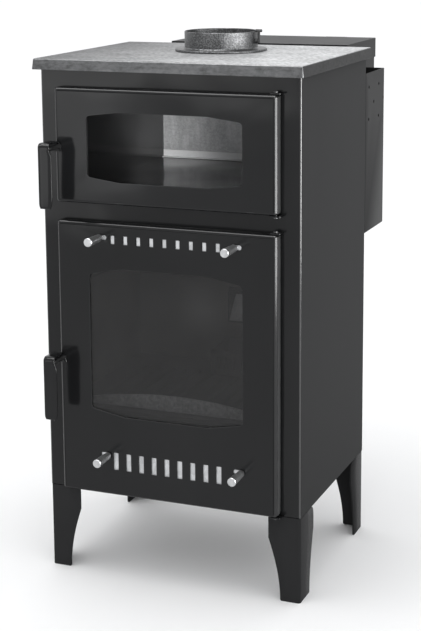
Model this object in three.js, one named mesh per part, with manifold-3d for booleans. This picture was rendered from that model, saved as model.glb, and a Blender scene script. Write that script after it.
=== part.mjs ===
// A free-standing pellet and wood stove with an oven above the firebox and a pellet hopper at the rear.
// Millimetres, +Z up. x runs to the right, y to the rear. Until the last group the casing's front
// face is y = 0 and the casing's middle is x = 0; that group centres the stove over its origin.
import * as THREE from 'three';
import { mergeVertices } from 'three/addons/utils/BufferGeometryUtils.js';
import Module from 'manifold-3d';

const wasm = await Module();
wasm.setup();

// Shared clearances
const gap = 0.3;
const overrun = 5;

// Casing: the widths of what it holds are set in from its sides, and heights build up from the legs
const casingWidth = 450;
const casingDepth = 350;
const legHeight = 145;
const sheet = 2;
const frontSheet = 2.5;
const frontEdgeRadius = 2;
const frameMargin = 33;
const bottomMargin = 3.5;
const fireDoorHeight = 463.5;
const doorGap = 30;
const ovenDoorHeight = 189;
const topMargin = 45;

// Top plate
const plateThickness = 5;
const plateSideOverhang = 9;
const plateFrontOverhang = 16;
const plateRearOverhang = 11;
const plateCorner = 3;
const skirtDepth = 18;
const skirtWall = 3;
const skirtFlare = 2;

// Flue collar and its damper
const flueX = 6;
const flueToRear = 130;
const collarRadius = 62.5;
const collarWall = 2;
const collarHeight = 34;
const flangeWidth = 16;
const flangeThickness = 4;
const flangeFillet = 2;
const damperClearance = 3;
const damperThickness = 2.5;
const damperDrop = 17;
const spindleRadius = 4;
const leverReach = 6;
const leverHeight = 18;
const leverBarLength = 11;
const leverBarRadius = 2.5;
const leverStemWidth = 6;
const leverStemThickness = 3;

// Legs
const legSheet = 3;
const legFrontTopWidth = 55;
const legFrontFootWidth = 34.5;
const legSideTopWidth = 68;
const legSideFootWidth = 48;
const legStraight = 38;
const legSideCorner = 18;
const legFootCorner = 3;
const legTab = 36;

// Doors: the same pressed shell, glass, retainer, back plate and rope seal for both
const doorThickness = 20;
const doorStandOff = 2;
const doorSheet = 2;
const doorEdgeRadius = 3;
const doorCorner = 4;
const glassThickness = 4;
const glassMargin = 11;
const backPlateSheet = 1.5;
const backPlateInset = 12;
const backPlateSideInset = 20;
const backPlateWindowMargin = 4;
const sealOffset = 5;
const sealWidth = 8;
const sealEdge = 1;
const windowCorner = 7;
const windowSlant = 59;

// Oven, measured from its door's edges
const ovenMouthInset = 40;
const ovenFloorLift = 26.5;
const ovenRoofDrop = 25;
const ovenRearGap = 15.7;
const ovenWindowInset = 57.5;
const ovenWindowLift = 37.5;
const ovenWindowDrop = 38;
const ovenWindowChamfer = 7.5;
const railDepth = 8;
const railHeight = 14;
const railSheet = 2;

// Firebox, measured from its door's edges
const fireMouthInset = 37;
const fireMouthLift = 26.5;
const fireMouthDrop = 22;
const fireWindowInset = 58;
const fireWindowLift = 138;
const fireWindowDrop = 75.5;
const fireWindowChamfer = 11;
const brickThickness = 20;
const brickHeight = 188;
const brickLedge = 18;
const grateLift = 5.5;
const grateThickness = 12;
const grateSlotCount = 13;
const grateSlotWidth = 9;
const grateSlotInset = 67;
const grateSlotPitch = 26;
const guardInset = 42.7;
const guardThickness = 3;
const guardSetBack = 15.2;
const guardEndHeight = 10;
const guardMiddleHeight = 27;
const ashPanPlay = 5;
const ashPanHeight = 62;
const ashPanInset = 22.2;
const ashPanSheet = 1.5;

// Air slides in the firebox door
const airSlotCount = 9;
const airSlotPitch = 23;
const upperSlotDrop = 27;
const upperSlotWidth = 8;
const upperSlotHeight = 14;
const upperSlideOffset = -7;
const upperTravelBack = 4;
const upperTravelOut = 7;
const upperKnobXs = [-113, 122];
const upperKnobLift = 3;
const lowerSlotLift = 59.5;
const lowerSlotWidth = 9;
const lowerSlotHeight = 30;
const lowerSlideOffset = 11;
const lowerTravelBack = 11;
const lowerTravelOut = 0;
const lowerKnobXs = [-105, 132];
const lowerKnobLift = 10;
const slideSheet = 1.5;
const slideMargin = 6;
const slideEndMargin = 14;
const knobLength = 46;
const knobFaceRadius = 7.3;
const knobRootRadius = 5;
const knobEdge = 1.2;
const knobStemRadius = 3.6;
const knobStemLength = 3.6;

// Door handles: a strip bent forward and down from its pivot, with a spindle and latch cam
const handleInset = 8;
const handleStrip = 3;
const handleReach = 42;
const handleLeft = 17;
const handleRight = 7;
const handleWaist = 4;
const handleRise = 9;
const handleLength = 98;
const handleBend = 6;
const handleBevel = 0.8;
const handleTab = 9;
const handleSpindleRadius = 4;
const ovenHandleDrop = 96;
const fireHandleLift = 231.5;
const camHub = 5.3;
const camSealGap = 5;
const camThickness = 2.5;
const camHalfWidth = 4;
const keeperHeight = 12;

// Door hinges: flat tabs on the front frame with a pin through each
const hingeInset = 5.5;
const hingeDepth = 10;
const hingePinRadius = 2.5;
const hingeHeadRadius = 4;
const hingeHead = 1.6;
const hingePinDepth = 12;
const tabThickness = 2.5;
const tabLeft = 8;
const tabRight = 10;
const tabFront = 7;
const tabCorner = 3;

// Pellet hopper, lid and chute
const hopperX = 18;
const hopperInset = 59.5;
const hopperDepth = 180;
const hopperSheet = 1.5;
const hopperBoxDepth = 158;
const hopperFunnelDepth = 120;
const lidLift = 2;
const lidSheet = 2;
const lidSkirt = 35;
const lidClearance = 0.5;
const lidPlateGap = 3.5;
const lidCorner = 4;
const lidPinRadius = 2;
const lidPinStandOff = 5;
const lidPinDrop = 6;
const lidKnuckleRadius = 3.5;
const lidKnuckleWidth = 40;
const lidKnuckleInset = 75.5;
const lidEarWidth = 12;
const chuteWidth = 80;
const chuteBore = 34;
const chuteSheet = 2;
const chuteSetBack = 19;
const chuteDrop = 72;
const chuteMouthLift = 106;
const chuteMouthReach = 6;

// Pellet basket under the chute
const basketWidth = 90;
const basketDepth = 86;
const basketHeight = 46;
const basketSheet = 2;
const basketSlotCount = 5;
const basketSlotWidth = 5;
const basketSlotHeight = 22;

// Guards beside the hopper
const guardDepth = 120;
const guardTopDrop = 46;
const guardHeight = 283;
const guardSheet = 2;
const guardLip = 20;
const guardHoleRadius = 3;
const guardHolePitch = 62;
const guardHoleRowPitch = 28.5;
const guardHoleFirst = 21;
const guardHoleTop = 25;
const guardHoleRows = 3;
const guardHolesPerRow = 2;

// Shares of a leg's taper where its curve leaves the straight part and meets the foot
const legCurveShares = { cornerIn: 0.65, leaveWidth: 0.25, leaveHeight: 0.85, meetHeight: 0.45 };
const handleWaistShare = 0.5;
const handleCurveShare = 0.25;

// Heights, widths and depths that follow from the sizes above
const casingBottom = legHeight;
const fireDoorBottom = casingBottom + bottomMargin;
const fireDoorTop = fireDoorBottom + fireDoorHeight;
const ovenDoorBottom = fireDoorTop + doorGap;
const ovenDoorTop = ovenDoorBottom + ovenDoorHeight;
const plateTop = ovenDoorTop + topMargin;
const halfCasing = casingWidth / 2;
const innerHalf = halfCasing - sheet - gap;
const panelTop = plateTop - plateThickness - gap;
const panelFront = frontSheet + gap;
const rearInside = casingDepth - sheet - gap;
const floorTop = casingBottom + sheet + gap;
const backBrickFront = rearInside - brickThickness;
const sideBrickInner = innerHalf - brickThickness;
const plateRear = casingDepth + plateRearOverhang;

const doorWidth = casingWidth - frameMargin * 2;
const halfDoor = doorWidth / 2;
const doorFront = -doorThickness;
const doorBack = -doorStandOff;
const skinBack = doorFront + doorSheet;
const glassFront = skinBack + gap;
const glassBack = glassFront + glassThickness;
const backPlateY = doorFront + backPlateInset;
const hingeX = halfDoor - hingeInset;
const hingeY = -hingeDepth;
const handleX = handleInset - halfDoor;
const knobTip = doorFront - knobLength;

const ovenHalf = halfDoor - ovenMouthInset;
const ovenFloor = ovenDoorBottom + ovenFloorLift;
const ovenRoof = ovenDoorTop - ovenRoofDrop;
const ovenBack = rearInside - ovenRearGap - sheet;
const ovenWindowBottom = ovenDoorBottom + ovenWindowLift;
const ovenWindowTop = ovenDoorTop - ovenWindowDrop;
const ovenHandleZ = ovenDoorTop - ovenHandleDrop;

const fireMouthHalf = halfDoor - fireMouthInset;
const fireMouthBottom = fireDoorBottom + fireMouthLift;
const fireMouthTop = fireDoorTop - fireMouthDrop;
const fireWindowBottom = fireDoorBottom + fireWindowLift;
const fireWindowTop = fireDoorTop - fireWindowDrop;
const fireHandleZ = fireDoorBottom + fireHandleLift;
const upperSlotZ = fireDoorTop - upperSlotDrop;
const lowerSlotZ = fireDoorBottom + lowerSlotLift;
const grateTop = fireWindowBottom + grateLift;
const brickTop = grateTop + brickHeight;
const guardY = panelFront + guardSetBack;
const chuteMouthZ = grateTop + chuteMouthLift;
const chuteElbow = chuteMouthZ + chuteDrop;

const lidTop = plateTop + lidLift;
const lidFront = plateRear + lidPlateGap;
const hopperHalf = halfCasing - hopperInset;
const hopperShoulder = lidTop - hopperBoxDepth;
const hopperOutlet = hopperShoulder - hopperFunnelDepth;
const hopperFront = lidFront + lidSheet + lidClearance;
const hopperRear = hopperFront + hopperDepth;
const lidPinY = hopperRear + lidPinStandOff;
const lidPinZ = lidTop - lidPinDrop;
const rimTop = lidTop - lidSheet - gap;
const chuteY = hopperFront + chuteSetBack;
const stoveRear = lidPinY + lidKnuckleRadius;

const flueY = casingDepth - flueToRear;
const collarBore = collarRadius - collarWall;
const collarRim = plateTop + collarHeight;
const damperZ = collarRim - damperDrop;
const guardRear = casingDepth + guardDepth;
const guardTop = plateTop - guardTopDrop;
const guardBottom = guardTop - guardHeight;

const sideCount = 40;
const smallSideCount = 16;
const cornerSteps = 3;

// Turns a three.js geometry into a solid, with its faces pointing outwards
function solidOf(geometry) {
  const bare = geometry.clone();
  bare.deleteAttribute('normal');
  bare.deleteAttribute('uv');
  const merged = mergeVertices(bare, 1e-4);
  const places = merged.attributes.position.array;
  const corners = Array.from(merged.index.array);
  const kept = [];
  for (let i = 0; i < corners.length; i += 3) {
    const [a, b, c] = corners.slice(i, i + 3);
    if (a !== b && b !== c && c !== a) kept.push(a, b, c);
  }
  const at = (index) => new THREE.Vector3().fromArray(places, index * 3);
  let volume = 0;
  for (let i = 0; i < kept.length; i += 3) {
    volume += at(kept[i]).dot(at(kept[i + 1]).cross(at(kept[i + 2])));
  }
  if (volume < 0) kept.reverse();
  return new wasm.Manifold(new wasm.Mesh({
    numProp: 3,
    vertProperties: new Float32Array(places),
    triVerts: new Uint32Array(kept),
  }));
}

function geometryOf(solid) {
  const mesh = solid.getMesh();
  const geometry = new THREE.BufferGeometry();
  geometry.setAttribute('position', new THREE.BufferAttribute(new Float32Array(mesh.vertProperties), 3));
  geometry.setIndex(new THREE.BufferAttribute(new Uint32Array(mesh.triVerts), 1));
  geometry.computeVertexNormals();
  return geometry;
}

// A block between two corners
function block(low, high) {
  const size = high.map((value, axis) => value - low[axis]);
  const geometry = new THREE.BoxGeometry(...size);
  geometry.translate(...low.map((value, axis) => value + size[axis] / 2));
  return solidOf(geometry);
}

// Outlines drawn in plan (x, y), in front view (x, z) or in side view (y, z), given their thickness
function extrudeUp(shape, low, high) {
  const geometry = new THREE.ExtrudeGeometry(shape, {
    depth: high - low, bevelEnabled: false, curveSegments: cornerSteps,
  });
  geometry.translate(0, 0, low);
  return solidOf(geometry);
}

function extrudeBack(shape, low, high, bevel = 0) {
  const geometry = new THREE.ExtrudeGeometry(shape, {
    depth: high - low - bevel * 2,
    bevelEnabled: bevel > 0,
    bevelSize: bevel,
    bevelOffset: -bevel,
    bevelThickness: bevel,
    bevelSegments: cornerSteps,
    curveSegments: cornerSteps,
  });
  geometry.rotateX(Math.PI / 2);
  geometry.translate(0, high - bevel, 0);
  return solidOf(geometry);
}

function extrudeAcross(shape, low, high) {
  const geometry = new THREE.ExtrudeGeometry(shape, {
    depth: high - low, bevelEnabled: false, curveSegments: cornerSteps,
  });
  const turn = new THREE.Matrix4().makeBasis(
    new THREE.Vector3(0, 1, 0), new THREE.Vector3(0, 0, 1), new THREE.Vector3(1, 0, 0));
  geometry.applyMatrix4(turn);
  geometry.translate(low, 0, 0);
  return solidOf(geometry);
}

// A straight-sided or rounded polygon: each point may carry its own corner radius
function outline(points) {
  const shape = new THREE.Shape();
  const count = points.length;
  points.forEach(([x, y, radius = 0], index) => {
    const here = new THREE.Vector2(x, y);
    const before = new THREE.Vector2(...points[(index + count - 1) % count].slice(0, 2));
    const after = new THREE.Vector2(...points[(index + 1) % count].slice(0, 2));
    const cutIn = Math.min(radius, before.distanceTo(here) / 2, after.distanceTo(here) / 2);
    const start = here.clone().add(before.sub(here).setLength(cutIn));
    const end = here.clone().add(after.sub(here).setLength(cutIn));
    if (index === 0) shape.moveTo(start.x, start.y);
    else shape.lineTo(start.x, start.y);
    if (cutIn > 0) shape.quadraticCurveTo(here.x, here.y, end.x, end.y);
  });
  shape.closePath();
  return shape;
}

function rectangle(left, right, bottom, top, radius = 0) {
  return outline([
    [left, bottom, radius], [right, bottom, radius], [right, top, radius], [left, top, radius],
  ]);
}

// A round bar along x, y or z between two places on that axis
function bar(axis, radius, low, high, across, sides = smallSideCount) {
  const geometry = new THREE.CylinderGeometry(radius, radius, high - low, sides);
  if (axis === 'x') geometry.rotateZ(Math.PI / 2);
  if (axis === 'z') geometry.rotateX(Math.PI / 2);
  const middle = (low + high) / 2;
  const places = {
    x: [middle, ...across],
    y: [across[0], middle, across[1]],
    z: [...across, middle],
  };
  geometry.translate(...places[axis]);
  return solidOf(geometry);
}

// A body of revolution about +Z from a closed profile of radius and height
function turned(profile, sides = sideCount) {
  const closed = [...profile, profile[0]].map(([radius, height]) => new THREE.Vector2(radius, height));
  const geometry = new THREE.LatheGeometry(closed, sides);
  geometry.rotateX(Math.PI / 2);
  return solidOf(geometry);
}

// A closed skin over level rectangles, each [left, right, front, rear, height], from the bottom up
function loft(levels) {
  const places = [];
  for (const [left, right, front, rear, height] of levels) {
    places.push(left, front, height, right, front, height, right, rear, height, left, rear, height);
  }
  const faces = [0, 2, 1, 0, 3, 2];
  for (let level = 0; level < levels.length - 1; level += 1) {
    for (let side = 0; side < 4; side += 1) {
      const a = level * 4 + side;
      const b = level * 4 + ((side + 1) % 4);
      faces.push(a, b, b + 4, a, b + 4, a + 4);
    }
  }
  const last = (levels.length - 1) * 4;
  faces.push(last, last + 1, last + 2, last, last + 2, last + 3);
  const geometry = new THREE.BufferGeometry();
  geometry.setAttribute('position', new THREE.Float32BufferAttribute(places, 3));
  geometry.setIndex(faces);
  return solidOf(geometry);
}

const finishes = {
  glossBlack: { color: 0x1b1b1c, roughness: 0.22, metalness: 0.25 },
  sideBlack: { color: 0x2a2a2b, roughness: 0.35, metalness: 0.25 },
  brushedPlate: { color: 0xa9a9a8, roughness: 0.4, metalness: 0.85 },
  castIron: { color: 0x5a5a58, roughness: 0.65, metalness: 0.6 },
  darkIron: { color: 0x2c2b2a, roughness: 0.8, metalness: 0.4 },
  zinc: { color: 0x8e9092, roughness: 0.4, metalness: 0.8 },
  chrome: { color: 0xd8dadc, roughness: 0.12, metalness: 1 },
  glass: { color: 0x202224, roughness: 0.05, metalness: 0 },
  rope: { color: 0x8f8c84, roughness: 0.95, metalness: 0 },
  brick: { color: 0x6c655b, roughness: 0.95, metalness: 0 },
  hopperGrey: { color: 0x4c4d4f, roughness: 0.5, metalness: 0.4 },
};

const stove = new THREE.Group();

function piece(name, solid, finish) {
  const material = new THREE.MeshStandardMaterial(finishes[finish]);
  if (finish === 'glass') {
    material.transparent = true;
    material.opacity = 0.35;
  }
  const mesh = new THREE.Mesh(geometryOf(solid), material);
  mesh.name = name;
  stove.add(mesh);
}

// Front frame: one sheet with rounded vertical edges and the mouths of the oven and the firebox
function frontFrame() {
  const plan = outline([
    [-halfCasing, 0, frontEdgeRadius], [halfCasing, 0, frontEdgeRadius],
    [halfCasing, frontSheet], [-halfCasing, frontSheet],
  ]);
  const ovenMouth = block([-ovenHalf, -overrun, ovenFloor],
    [ovenHalf, frontSheet + overrun, ovenRoof]);
  const fireMouth = block([-fireMouthHalf, -overrun, fireMouthBottom],
    [fireMouthHalf, frontSheet + overrun, fireMouthTop]);
  return extrudeUp(plan, casingBottom, panelTop).subtract(ovenMouth).subtract(fireMouth);
}

// Chute: a square pipe, straight down from the hopper and then forward into the firebox
function chutePipe(margin, endMargin) {
  const slope = new THREE.Vector2(chuteY - (backBrickFront - chuteMouthReach), chuteElbow - chuteMouthZ);
  const half = chuteBore / 2 + margin;
  const rise = slope.y / slope.x;
  const lift = half * Math.hypot(1, rise);
  const mouthY = backBrickFront - chuteMouthReach - endMargin;
  const mouthZ = chuteMouthZ - endMargin * rise;
  const elbowShift = lift - half * rise;
  const topZ = hopperOutlet - gap + endMargin;
  const side = outline([
    [mouthY, mouthZ - lift], [chuteY + half, chuteElbow - elbowShift],
    [chuteY + half, topZ], [chuteY - half, topZ],
    [chuteY - half, chuteElbow + elbowShift], [mouthY, mouthZ + lift],
  ]);
  const halfWidth = chuteWidth / 2 + margin;
  return extrudeAcross(side, hopperX - halfWidth, hopperX + halfWidth);
}

const chuteCut = chutePipe(chuteSheet + gap, overrun);

function casing() {
  piece('front_frame', frontFrame(), 'glossBlack');
  for (const [name, side] of [['left', -1], ['right', 1]]) {
    const across = [side * halfCasing, side * (halfCasing - sheet)].sort((a, b) => a - b);
    piece(`${name}_side_panel`, block([across[0], panelFront, casingBottom],
      [across[1], casingDepth, panelTop]), 'sideBlack');
  }
  const rear = block([-innerHalf, casingDepth - sheet, casingBottom], [innerHalf, casingDepth, panelTop]);
  piece('rear_panel', rear.subtract(chuteCut), 'sideBlack');
  piece('base_panel', block([-innerHalf, panelFront, casingBottom],
    [innerHalf, rearInside, casingBottom + sheet]), 'sideBlack');
}

// Top plate: a folded plate whose skirt flares outwards a little, with the flue hole
function topPlate() {
  const halfBottom = halfCasing + plateSideOverhang;
  const front = -plateFrontOverhang;
  const level = (inset, height) => [
    -halfBottom + inset, halfBottom - inset, front + inset, plateRear - inset, height];
  const outer = loft([
    level(0, plateTop - skirtDepth), level(skirtFlare, plateTop - plateCorner),
    level(skirtFlare + plateCorner, plateTop),
  ]);
  const inner = loft([
    level(skirtWall, plateTop - skirtDepth - overrun),
    level(skirtWall, plateTop - skirtDepth),
    level(skirtWall + skirtFlare, plateTop - plateThickness),
  ]);
  const hole = bar('z', collarRadius + gap, plateTop - skirtDepth, plateTop + overrun, [flueX, flueY], sideCount);
  piece('top_plate', outer.subtract(inner).subtract(hole), 'brushedPlate');
}

function flue() {
  const flangeBottom = plateTop + gap;
  const flangeTop = flangeBottom + flangeThickness;
  const spigotBottom = plateTop - plateThickness;
  const ring = turned([
    [collarBore, spigotBottom], [collarRadius, spigotBottom], [collarRadius, flangeBottom],
    [collarRadius + flangeWidth, flangeBottom], [collarRadius + flangeWidth, flangeTop],
    [collarRadius + flangeFillet, flangeTop], [collarRadius, flangeTop + flangeFillet],
    [collarRadius, collarRim], [collarBore, collarRim],
  ]).translate([flueX, flueY, 0]);
  const reach = collarRadius + leverReach;
  const bore = bar('x', spindleRadius + gap, flueX - reach, flueX + reach, [flueY, damperZ]);
  piece('flue_collar', ring.subtract(bore), 'castIron');

  const discTop = damperZ - spindleRadius - gap;
  piece('damper_disc', bar('z', collarBore - damperClearance, discTop - damperThickness, discTop,
    [flueX, flueY], sideCount), 'darkIron');
  const spindleLeft = flueX - collarRadius - spindleRadius;
  const leverInner = flueX + reach - leverStemThickness / 2;
  piece('damper_spindle', bar('x', spindleRadius, spindleLeft, leverInner - gap, [flueY, damperZ]), 'darkIron');
  const stem = block([leverInner, flueY - leverStemWidth / 2, damperZ - leverStemWidth / 2],
    [leverInner + leverStemThickness, flueY + leverStemWidth / 2, damperZ + leverHeight]);
  const grip = bar('x', leverBarRadius, flueX + reach - leverBarLength / 2, flueX + reach + leverBarLength / 2,
    [flueY, damperZ + leverHeight]);
  piece('damper_lever', stem.add(grip), 'darkIron');
}

// Legs: folded angles that taper to the foot, with a tab for the bolt under the base panel
function legs() {
  const top = casingBottom - gap;
  const curve = (topWidth, footWidth, corner) => {
    const { cornerIn, leaveWidth, leaveHeight, meetHeight } = legCurveShares;
    const shape = new THREE.Shape();
    const bend = top - legStraight;
    const narrowing = topWidth - footWidth;
    shape.moveTo(0, 0);
    shape.lineTo(0, top);
    shape.lineTo(topWidth - corner * cornerIn, top);
    shape.quadraticCurveTo(topWidth, top, topWidth, top - corner);
    shape.lineTo(topWidth, bend);
    shape.bezierCurveTo(topWidth - narrowing * leaveWidth, bend * leaveHeight,
      footWidth, bend * meetHeight, footWidth, legFootCorner);
    shape.quadraticCurveTo(footWidth, 0, footWidth - legFootCorner, 0);
    shape.closePath();
    return shape;
  };
  const frontFlange = curve(legFrontTopWidth, legFrontFootWidth, 0);
  const sideFlange = curve(legSideTopWidth, legSideFootWidth, legSideCorner);
  const tab = block([legSheet / 2, legSheet / 2, top - legSheet], [legTab, legTab, top]);
  const front = extrudeBack(frontFlange, 0, legSheet);
  const side = extrudeAcross(sideFlange, 0, legSheet);
  const leg = front.add(side).add(tab);
  for (const [depthName, flipY] of [['front', 1], ['rear', -1]]) {
    for (const [sideName, flipX] of [['left', 1], ['right', -1]]) {
      const placed = leg.scale([flipX, flipY, 1]).translate([
        -flipX * halfCasing, flipY > 0 ? 0 : casingDepth, 0]);
      piece(`leg_${depthName}_${sideName}`, placed, 'sideBlack');
    }
  }
}

function ovenInside() {
  const half = ovenHalf;
  const outer = block([-half - sheet, panelFront, ovenFloor - sheet],
    [half + sheet, ovenBack + sheet, ovenRoof + sheet]);
  const inner = block([-half, panelFront - overrun, ovenFloor], [half, ovenBack, ovenRoof]);
  piece('oven_liner', outer.subtract(inner), 'zinc');
  const rear = ovenBack - gap;
  const foot = ovenFloor + gap;
  const top = ovenFloor + railHeight;
  const front = rear - railDepth;
  const side = outline([
    [front, foot], [rear, foot], [rear, top], [rear - railSheet, top],
    [rear - railSheet, foot + railSheet], [front, foot + railSheet],
  ]);
  piece('oven_back_rail', extrudeAcross(side, -half + gap, half - gap), 'zinc');
}

function firebox() {
  const grateBottom = grateTop - grateThickness;
  const ledgeTop = grateBottom - gap;
  for (const [name, side] of [['left', -1], ['right', 1]]) {
    const shape = outline([
      [side * (sideBrickInner - brickLedge), floorTop], [side * innerHalf, floorTop],
      [side * innerHalf, brickTop], [side * sideBrickInner, brickTop],
      [side * sideBrickInner, ledgeTop], [side * (sideBrickInner - brickLedge), ledgeTop],
    ]);
    piece(`fire_brick_${name}`, extrudeBack(shape, panelFront, backBrickFront - gap), 'brick');
  }
  const backBrick = block([-innerHalf, backBrickFront, floorTop], [innerHalf, rearInside, brickTop]);
  piece('fire_brick_back', backBrick.subtract(chuteCut), 'brick');

  const grateHalf = sideBrickInner - gap;
  const grateRear = backBrickFront - gap;
  let grate = block([-grateHalf, panelFront, grateBottom], [grateHalf, grateRear, grateTop]);
  for (let index = 0; index < grateSlotCount; index += 1) {
    const x = (index - (grateSlotCount - 1) / 2) * grateSlotPitch;
    grate = grate.subtract(block(
      [x - grateSlotWidth / 2, panelFront + grateSlotInset, grateBottom - overrun],
      [x + grateSlotWidth / 2, grateRear - grateSlotInset, grateTop + overrun]));
  }
  piece('grate', grate, 'darkIron');

  const guardBase = grateTop + gap;
  const half = sideBrickInner - guardInset;
  const guard = new THREE.Shape();
  guard.moveTo(-half, guardBase);
  guard.lineTo(half, guardBase);
  guard.lineTo(half, guardBase + guardEndHeight);
  const crown = guardBase + guardMiddleHeight * 2 - guardEndHeight;
  guard.quadraticCurveTo(0, crown, -half, guardBase + guardEndHeight);
  guard.closePath();
  const arc = new THREE.ExtrudeGeometry(guard, {
    depth: guardThickness, bevelEnabled: false, curveSegments: smallSideCount,
  });
  arc.rotateX(Math.PI / 2);
  arc.translate(0, guardY + guardThickness, 0);
  piece('log_guard', solidOf(arc), 'darkIron');

  const panHalf = fireMouthHalf - ashPanPlay;
  const panLow = [-panHalf, panelFront + ashPanInset, floorTop];
  const panHigh = [panHalf, backBrickFront - gap, floorTop + ashPanHeight];
  const pan = block(panLow, panHigh).subtract(block(
    panLow.map((value) => value + ashPanSheet),
    [panHigh[0] - ashPanSheet, panHigh[1] - ashPanSheet, panHigh[2] + overrun]));
  piece('ash_pan', pan, 'zinc');
}

function pelletBasket() {
  const low = [hopperX - basketWidth / 2, backBrickFront - gap - basketDepth, grateTop + gap];
  const high = [hopperX + basketWidth / 2, backBrickFront - gap, grateTop + gap + basketHeight];
  let basket = block(low, high).subtract(block(low.map((value) => value + basketSheet),
    [high[0] - basketSheet, high[1] - basketSheet, high[2] + overrun]));
  const pitch = basketWidth / (basketSlotCount + 1);
  const middle = (low[2] + high[2]) / 2;
  for (let index = 1; index <= basketSlotCount; index += 1) {
    const x = low[0] + index * pitch;
    basket = basket.subtract(block(
      [x - basketSlotWidth / 2, low[1] - overrun, middle - basketSlotHeight / 2],
      [x + basketSlotWidth / 2, low[1] + basketSheet + overrun, middle + basketSlotHeight / 2]));
  }
  piece('pellet_basket', basket, 'darkIron');
}

// A door window: a wide octagon with shallow slanted corners
function windowShape(inset, bottom, top, chamfer, margin) {
  const half = halfDoor - inset + margin;
  const flat = half - windowSlant;
  const low = bottom - margin;
  const high = top + margin;
  return outline([
    [-flat, low], [flat, low], [half, low + chamfer, windowCorner], [half, high - chamfer, windowCorner],
    [flat, high], [-flat, high], [-half, high - chamfer, windowCorner], [-half, low + chamfer, windowCorner],
  ]);
}

// The parts that both doors share
function door(name, sizes) {
  const { bottom, top, windowInset, windowBottom, windowTop, chamfer, mouth, handleZ } = sizes;
  const opening = (margin, low, high) => extrudeBack(
    windowShape(windowInset, windowBottom, windowTop, chamfer, margin), low, high);
  const shellShape = rectangle(-halfDoor, halfDoor, bottom, top, doorCorner);
  const roundedBlock = extrudeBack(shellShape, doorFront, doorBack + overrun + doorEdgeRadius, doorEdgeRadius);
  const behind = block([-doorWidth, doorBack, bottom - overrun], [doorWidth, doorThickness, top + overrun]);
  const hollow = block([-halfDoor + doorSheet, skinBack, bottom + doorSheet],
    [halfDoor - doorSheet, doorThickness, top - doorSheet]);
  let shell = roundedBlock.subtract(behind).subtract(hollow)
    .subtract(opening(0, doorFront - overrun, skinBack + overrun));
  shell = shell.subtract(bar('z', hingePinRadius + gap, bottom - overrun, top + overrun, [hingeX, hingeY]));
  shell = shell.subtract(bar('y', handleSpindleRadius + gap, doorFront - overrun, skinBack + overrun,
    [handleX, handleZ]));

  const glassHalf = halfDoor - windowInset + glassMargin;
  const glassLow = windowBottom - glassMargin;
  const glassHigh = windowTop + glassMargin;
  piece(`${name}_glass`, block([-glassHalf, glassFront, glassLow], [glassHalf, glassBack, glassHigh]), 'glass');
  const retainer = block([-glassHalf, glassBack + gap, glassLow], [glassHalf, backPlateY - gap, glassHigh])
    .subtract(opening(backPlateWindowMargin, glassBack - overrun, backPlateY + overrun));
  piece(`${name}_glass_frame`, retainer, 'darkIron');

  const plateHalf = halfDoor - backPlateSideInset;
  const plateShape = rectangle(-plateHalf, plateHalf, bottom + doorSheet + gap, top - doorSheet - gap);
  const backPlate = extrudeBack(plateShape, backPlateY, backPlateY + backPlateSheet)
    .subtract(opening(backPlateWindowMargin, backPlateY - overrun, backPlateY + overrun));

  const [mouthHalf, mouthLow, mouthHigh] = mouth;
  const sealShape = (offset) => rectangle(-mouthHalf - offset, mouthHalf + offset,
    mouthLow - offset, mouthHigh + offset, offset);
  const sealFront = backPlateY + backPlateSheet + gap;
  const seal = extrudeBack(sealShape(sealOffset + sealWidth), sealFront, -gap, sealEdge)
    .subtract(extrudeBack(sealShape(sealOffset), sealFront - overrun, overrun));
  piece(`${name}_door_seal`, seal, 'rope');
  return { shell, backPlate };
}

// Handle: tab on the door, arm over the spindle and the grip that hangs down in front of the door
function handle(name, pivotZ, mouthHalf) {
  const tabBack = doorFront - gap;
  const gripFront = tabBack - handleReach;
  const top = pivotZ + handleRise;
  const side = outline([
    [tabBack, pivotZ - handleTab], [tabBack, top, handleBend], [gripFront, top, handleBend],
    [gripFront, pivotZ - handleLength, handleStrip], [gripFront + handleStrip, pivotZ - handleLength],
    [gripFront + handleStrip, top - handleStrip, handleStrip],
    [tabBack - handleStrip, top - handleStrip, handleStrip], [tabBack - handleStrip, pivotZ - handleTab],
  ]);
  const left = handleX - handleLeft;
  const right = handleX + handleRight;
  const bottom = pivotZ - handleLength;
  const curve = handleLength * handleCurveShare;
  const face = outline([
    [left, bottom, handleStrip], [right - handleWaist * handleWaistShare, bottom, handleStrip],
    [right, bottom + curve, curve], [right, top - curve, curve],
    [right - handleWaist, top, handleStrip], [left, top, handleStrip],
  ]);
  const strip = extrudeAcross(side, left - overrun, right + overrun)
    .intersect(extrudeBack(face, gripFront, tabBack, handleBevel));
  const spindleHole = bar('y', handleSpindleRadius + gap, tabBack - handleStrip - overrun, tabBack + overrun,
    [handleX, pivotZ]);
  piece(`${name}_handle`, strip.subtract(spindleHole), 'glossBlack');

  const camBack = -gap - camThickness / 2;
  const spindle = bar('y', handleSpindleRadius, gripFront + handleStrip + gap, camBack, [handleX, pivotZ]);
  const camEnd = -mouthHalf - sealOffset - sealWidth - camSealGap;
  const cam = block([handleX, camBack - camThickness, pivotZ - camHalfWidth],
    [camEnd, camBack, pivotZ + camHalfWidth]);
  const hub = bar('y', camHub, camBack - camThickness, camBack, [handleX, pivotZ]);
  piece(`${name}_handle_spindle`, spindle.add(cam).add(hub), 'chrome');
  const keeperBottom = pivotZ + camHalfWidth + gap;
  piece(`${name}_latch_keeper`, block(
    [handleX + camHub + gap, camBack - camThickness, keeperBottom],
    [camEnd, -gap, keeperBottom + keeperHeight]), 'darkIron');
}

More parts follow.
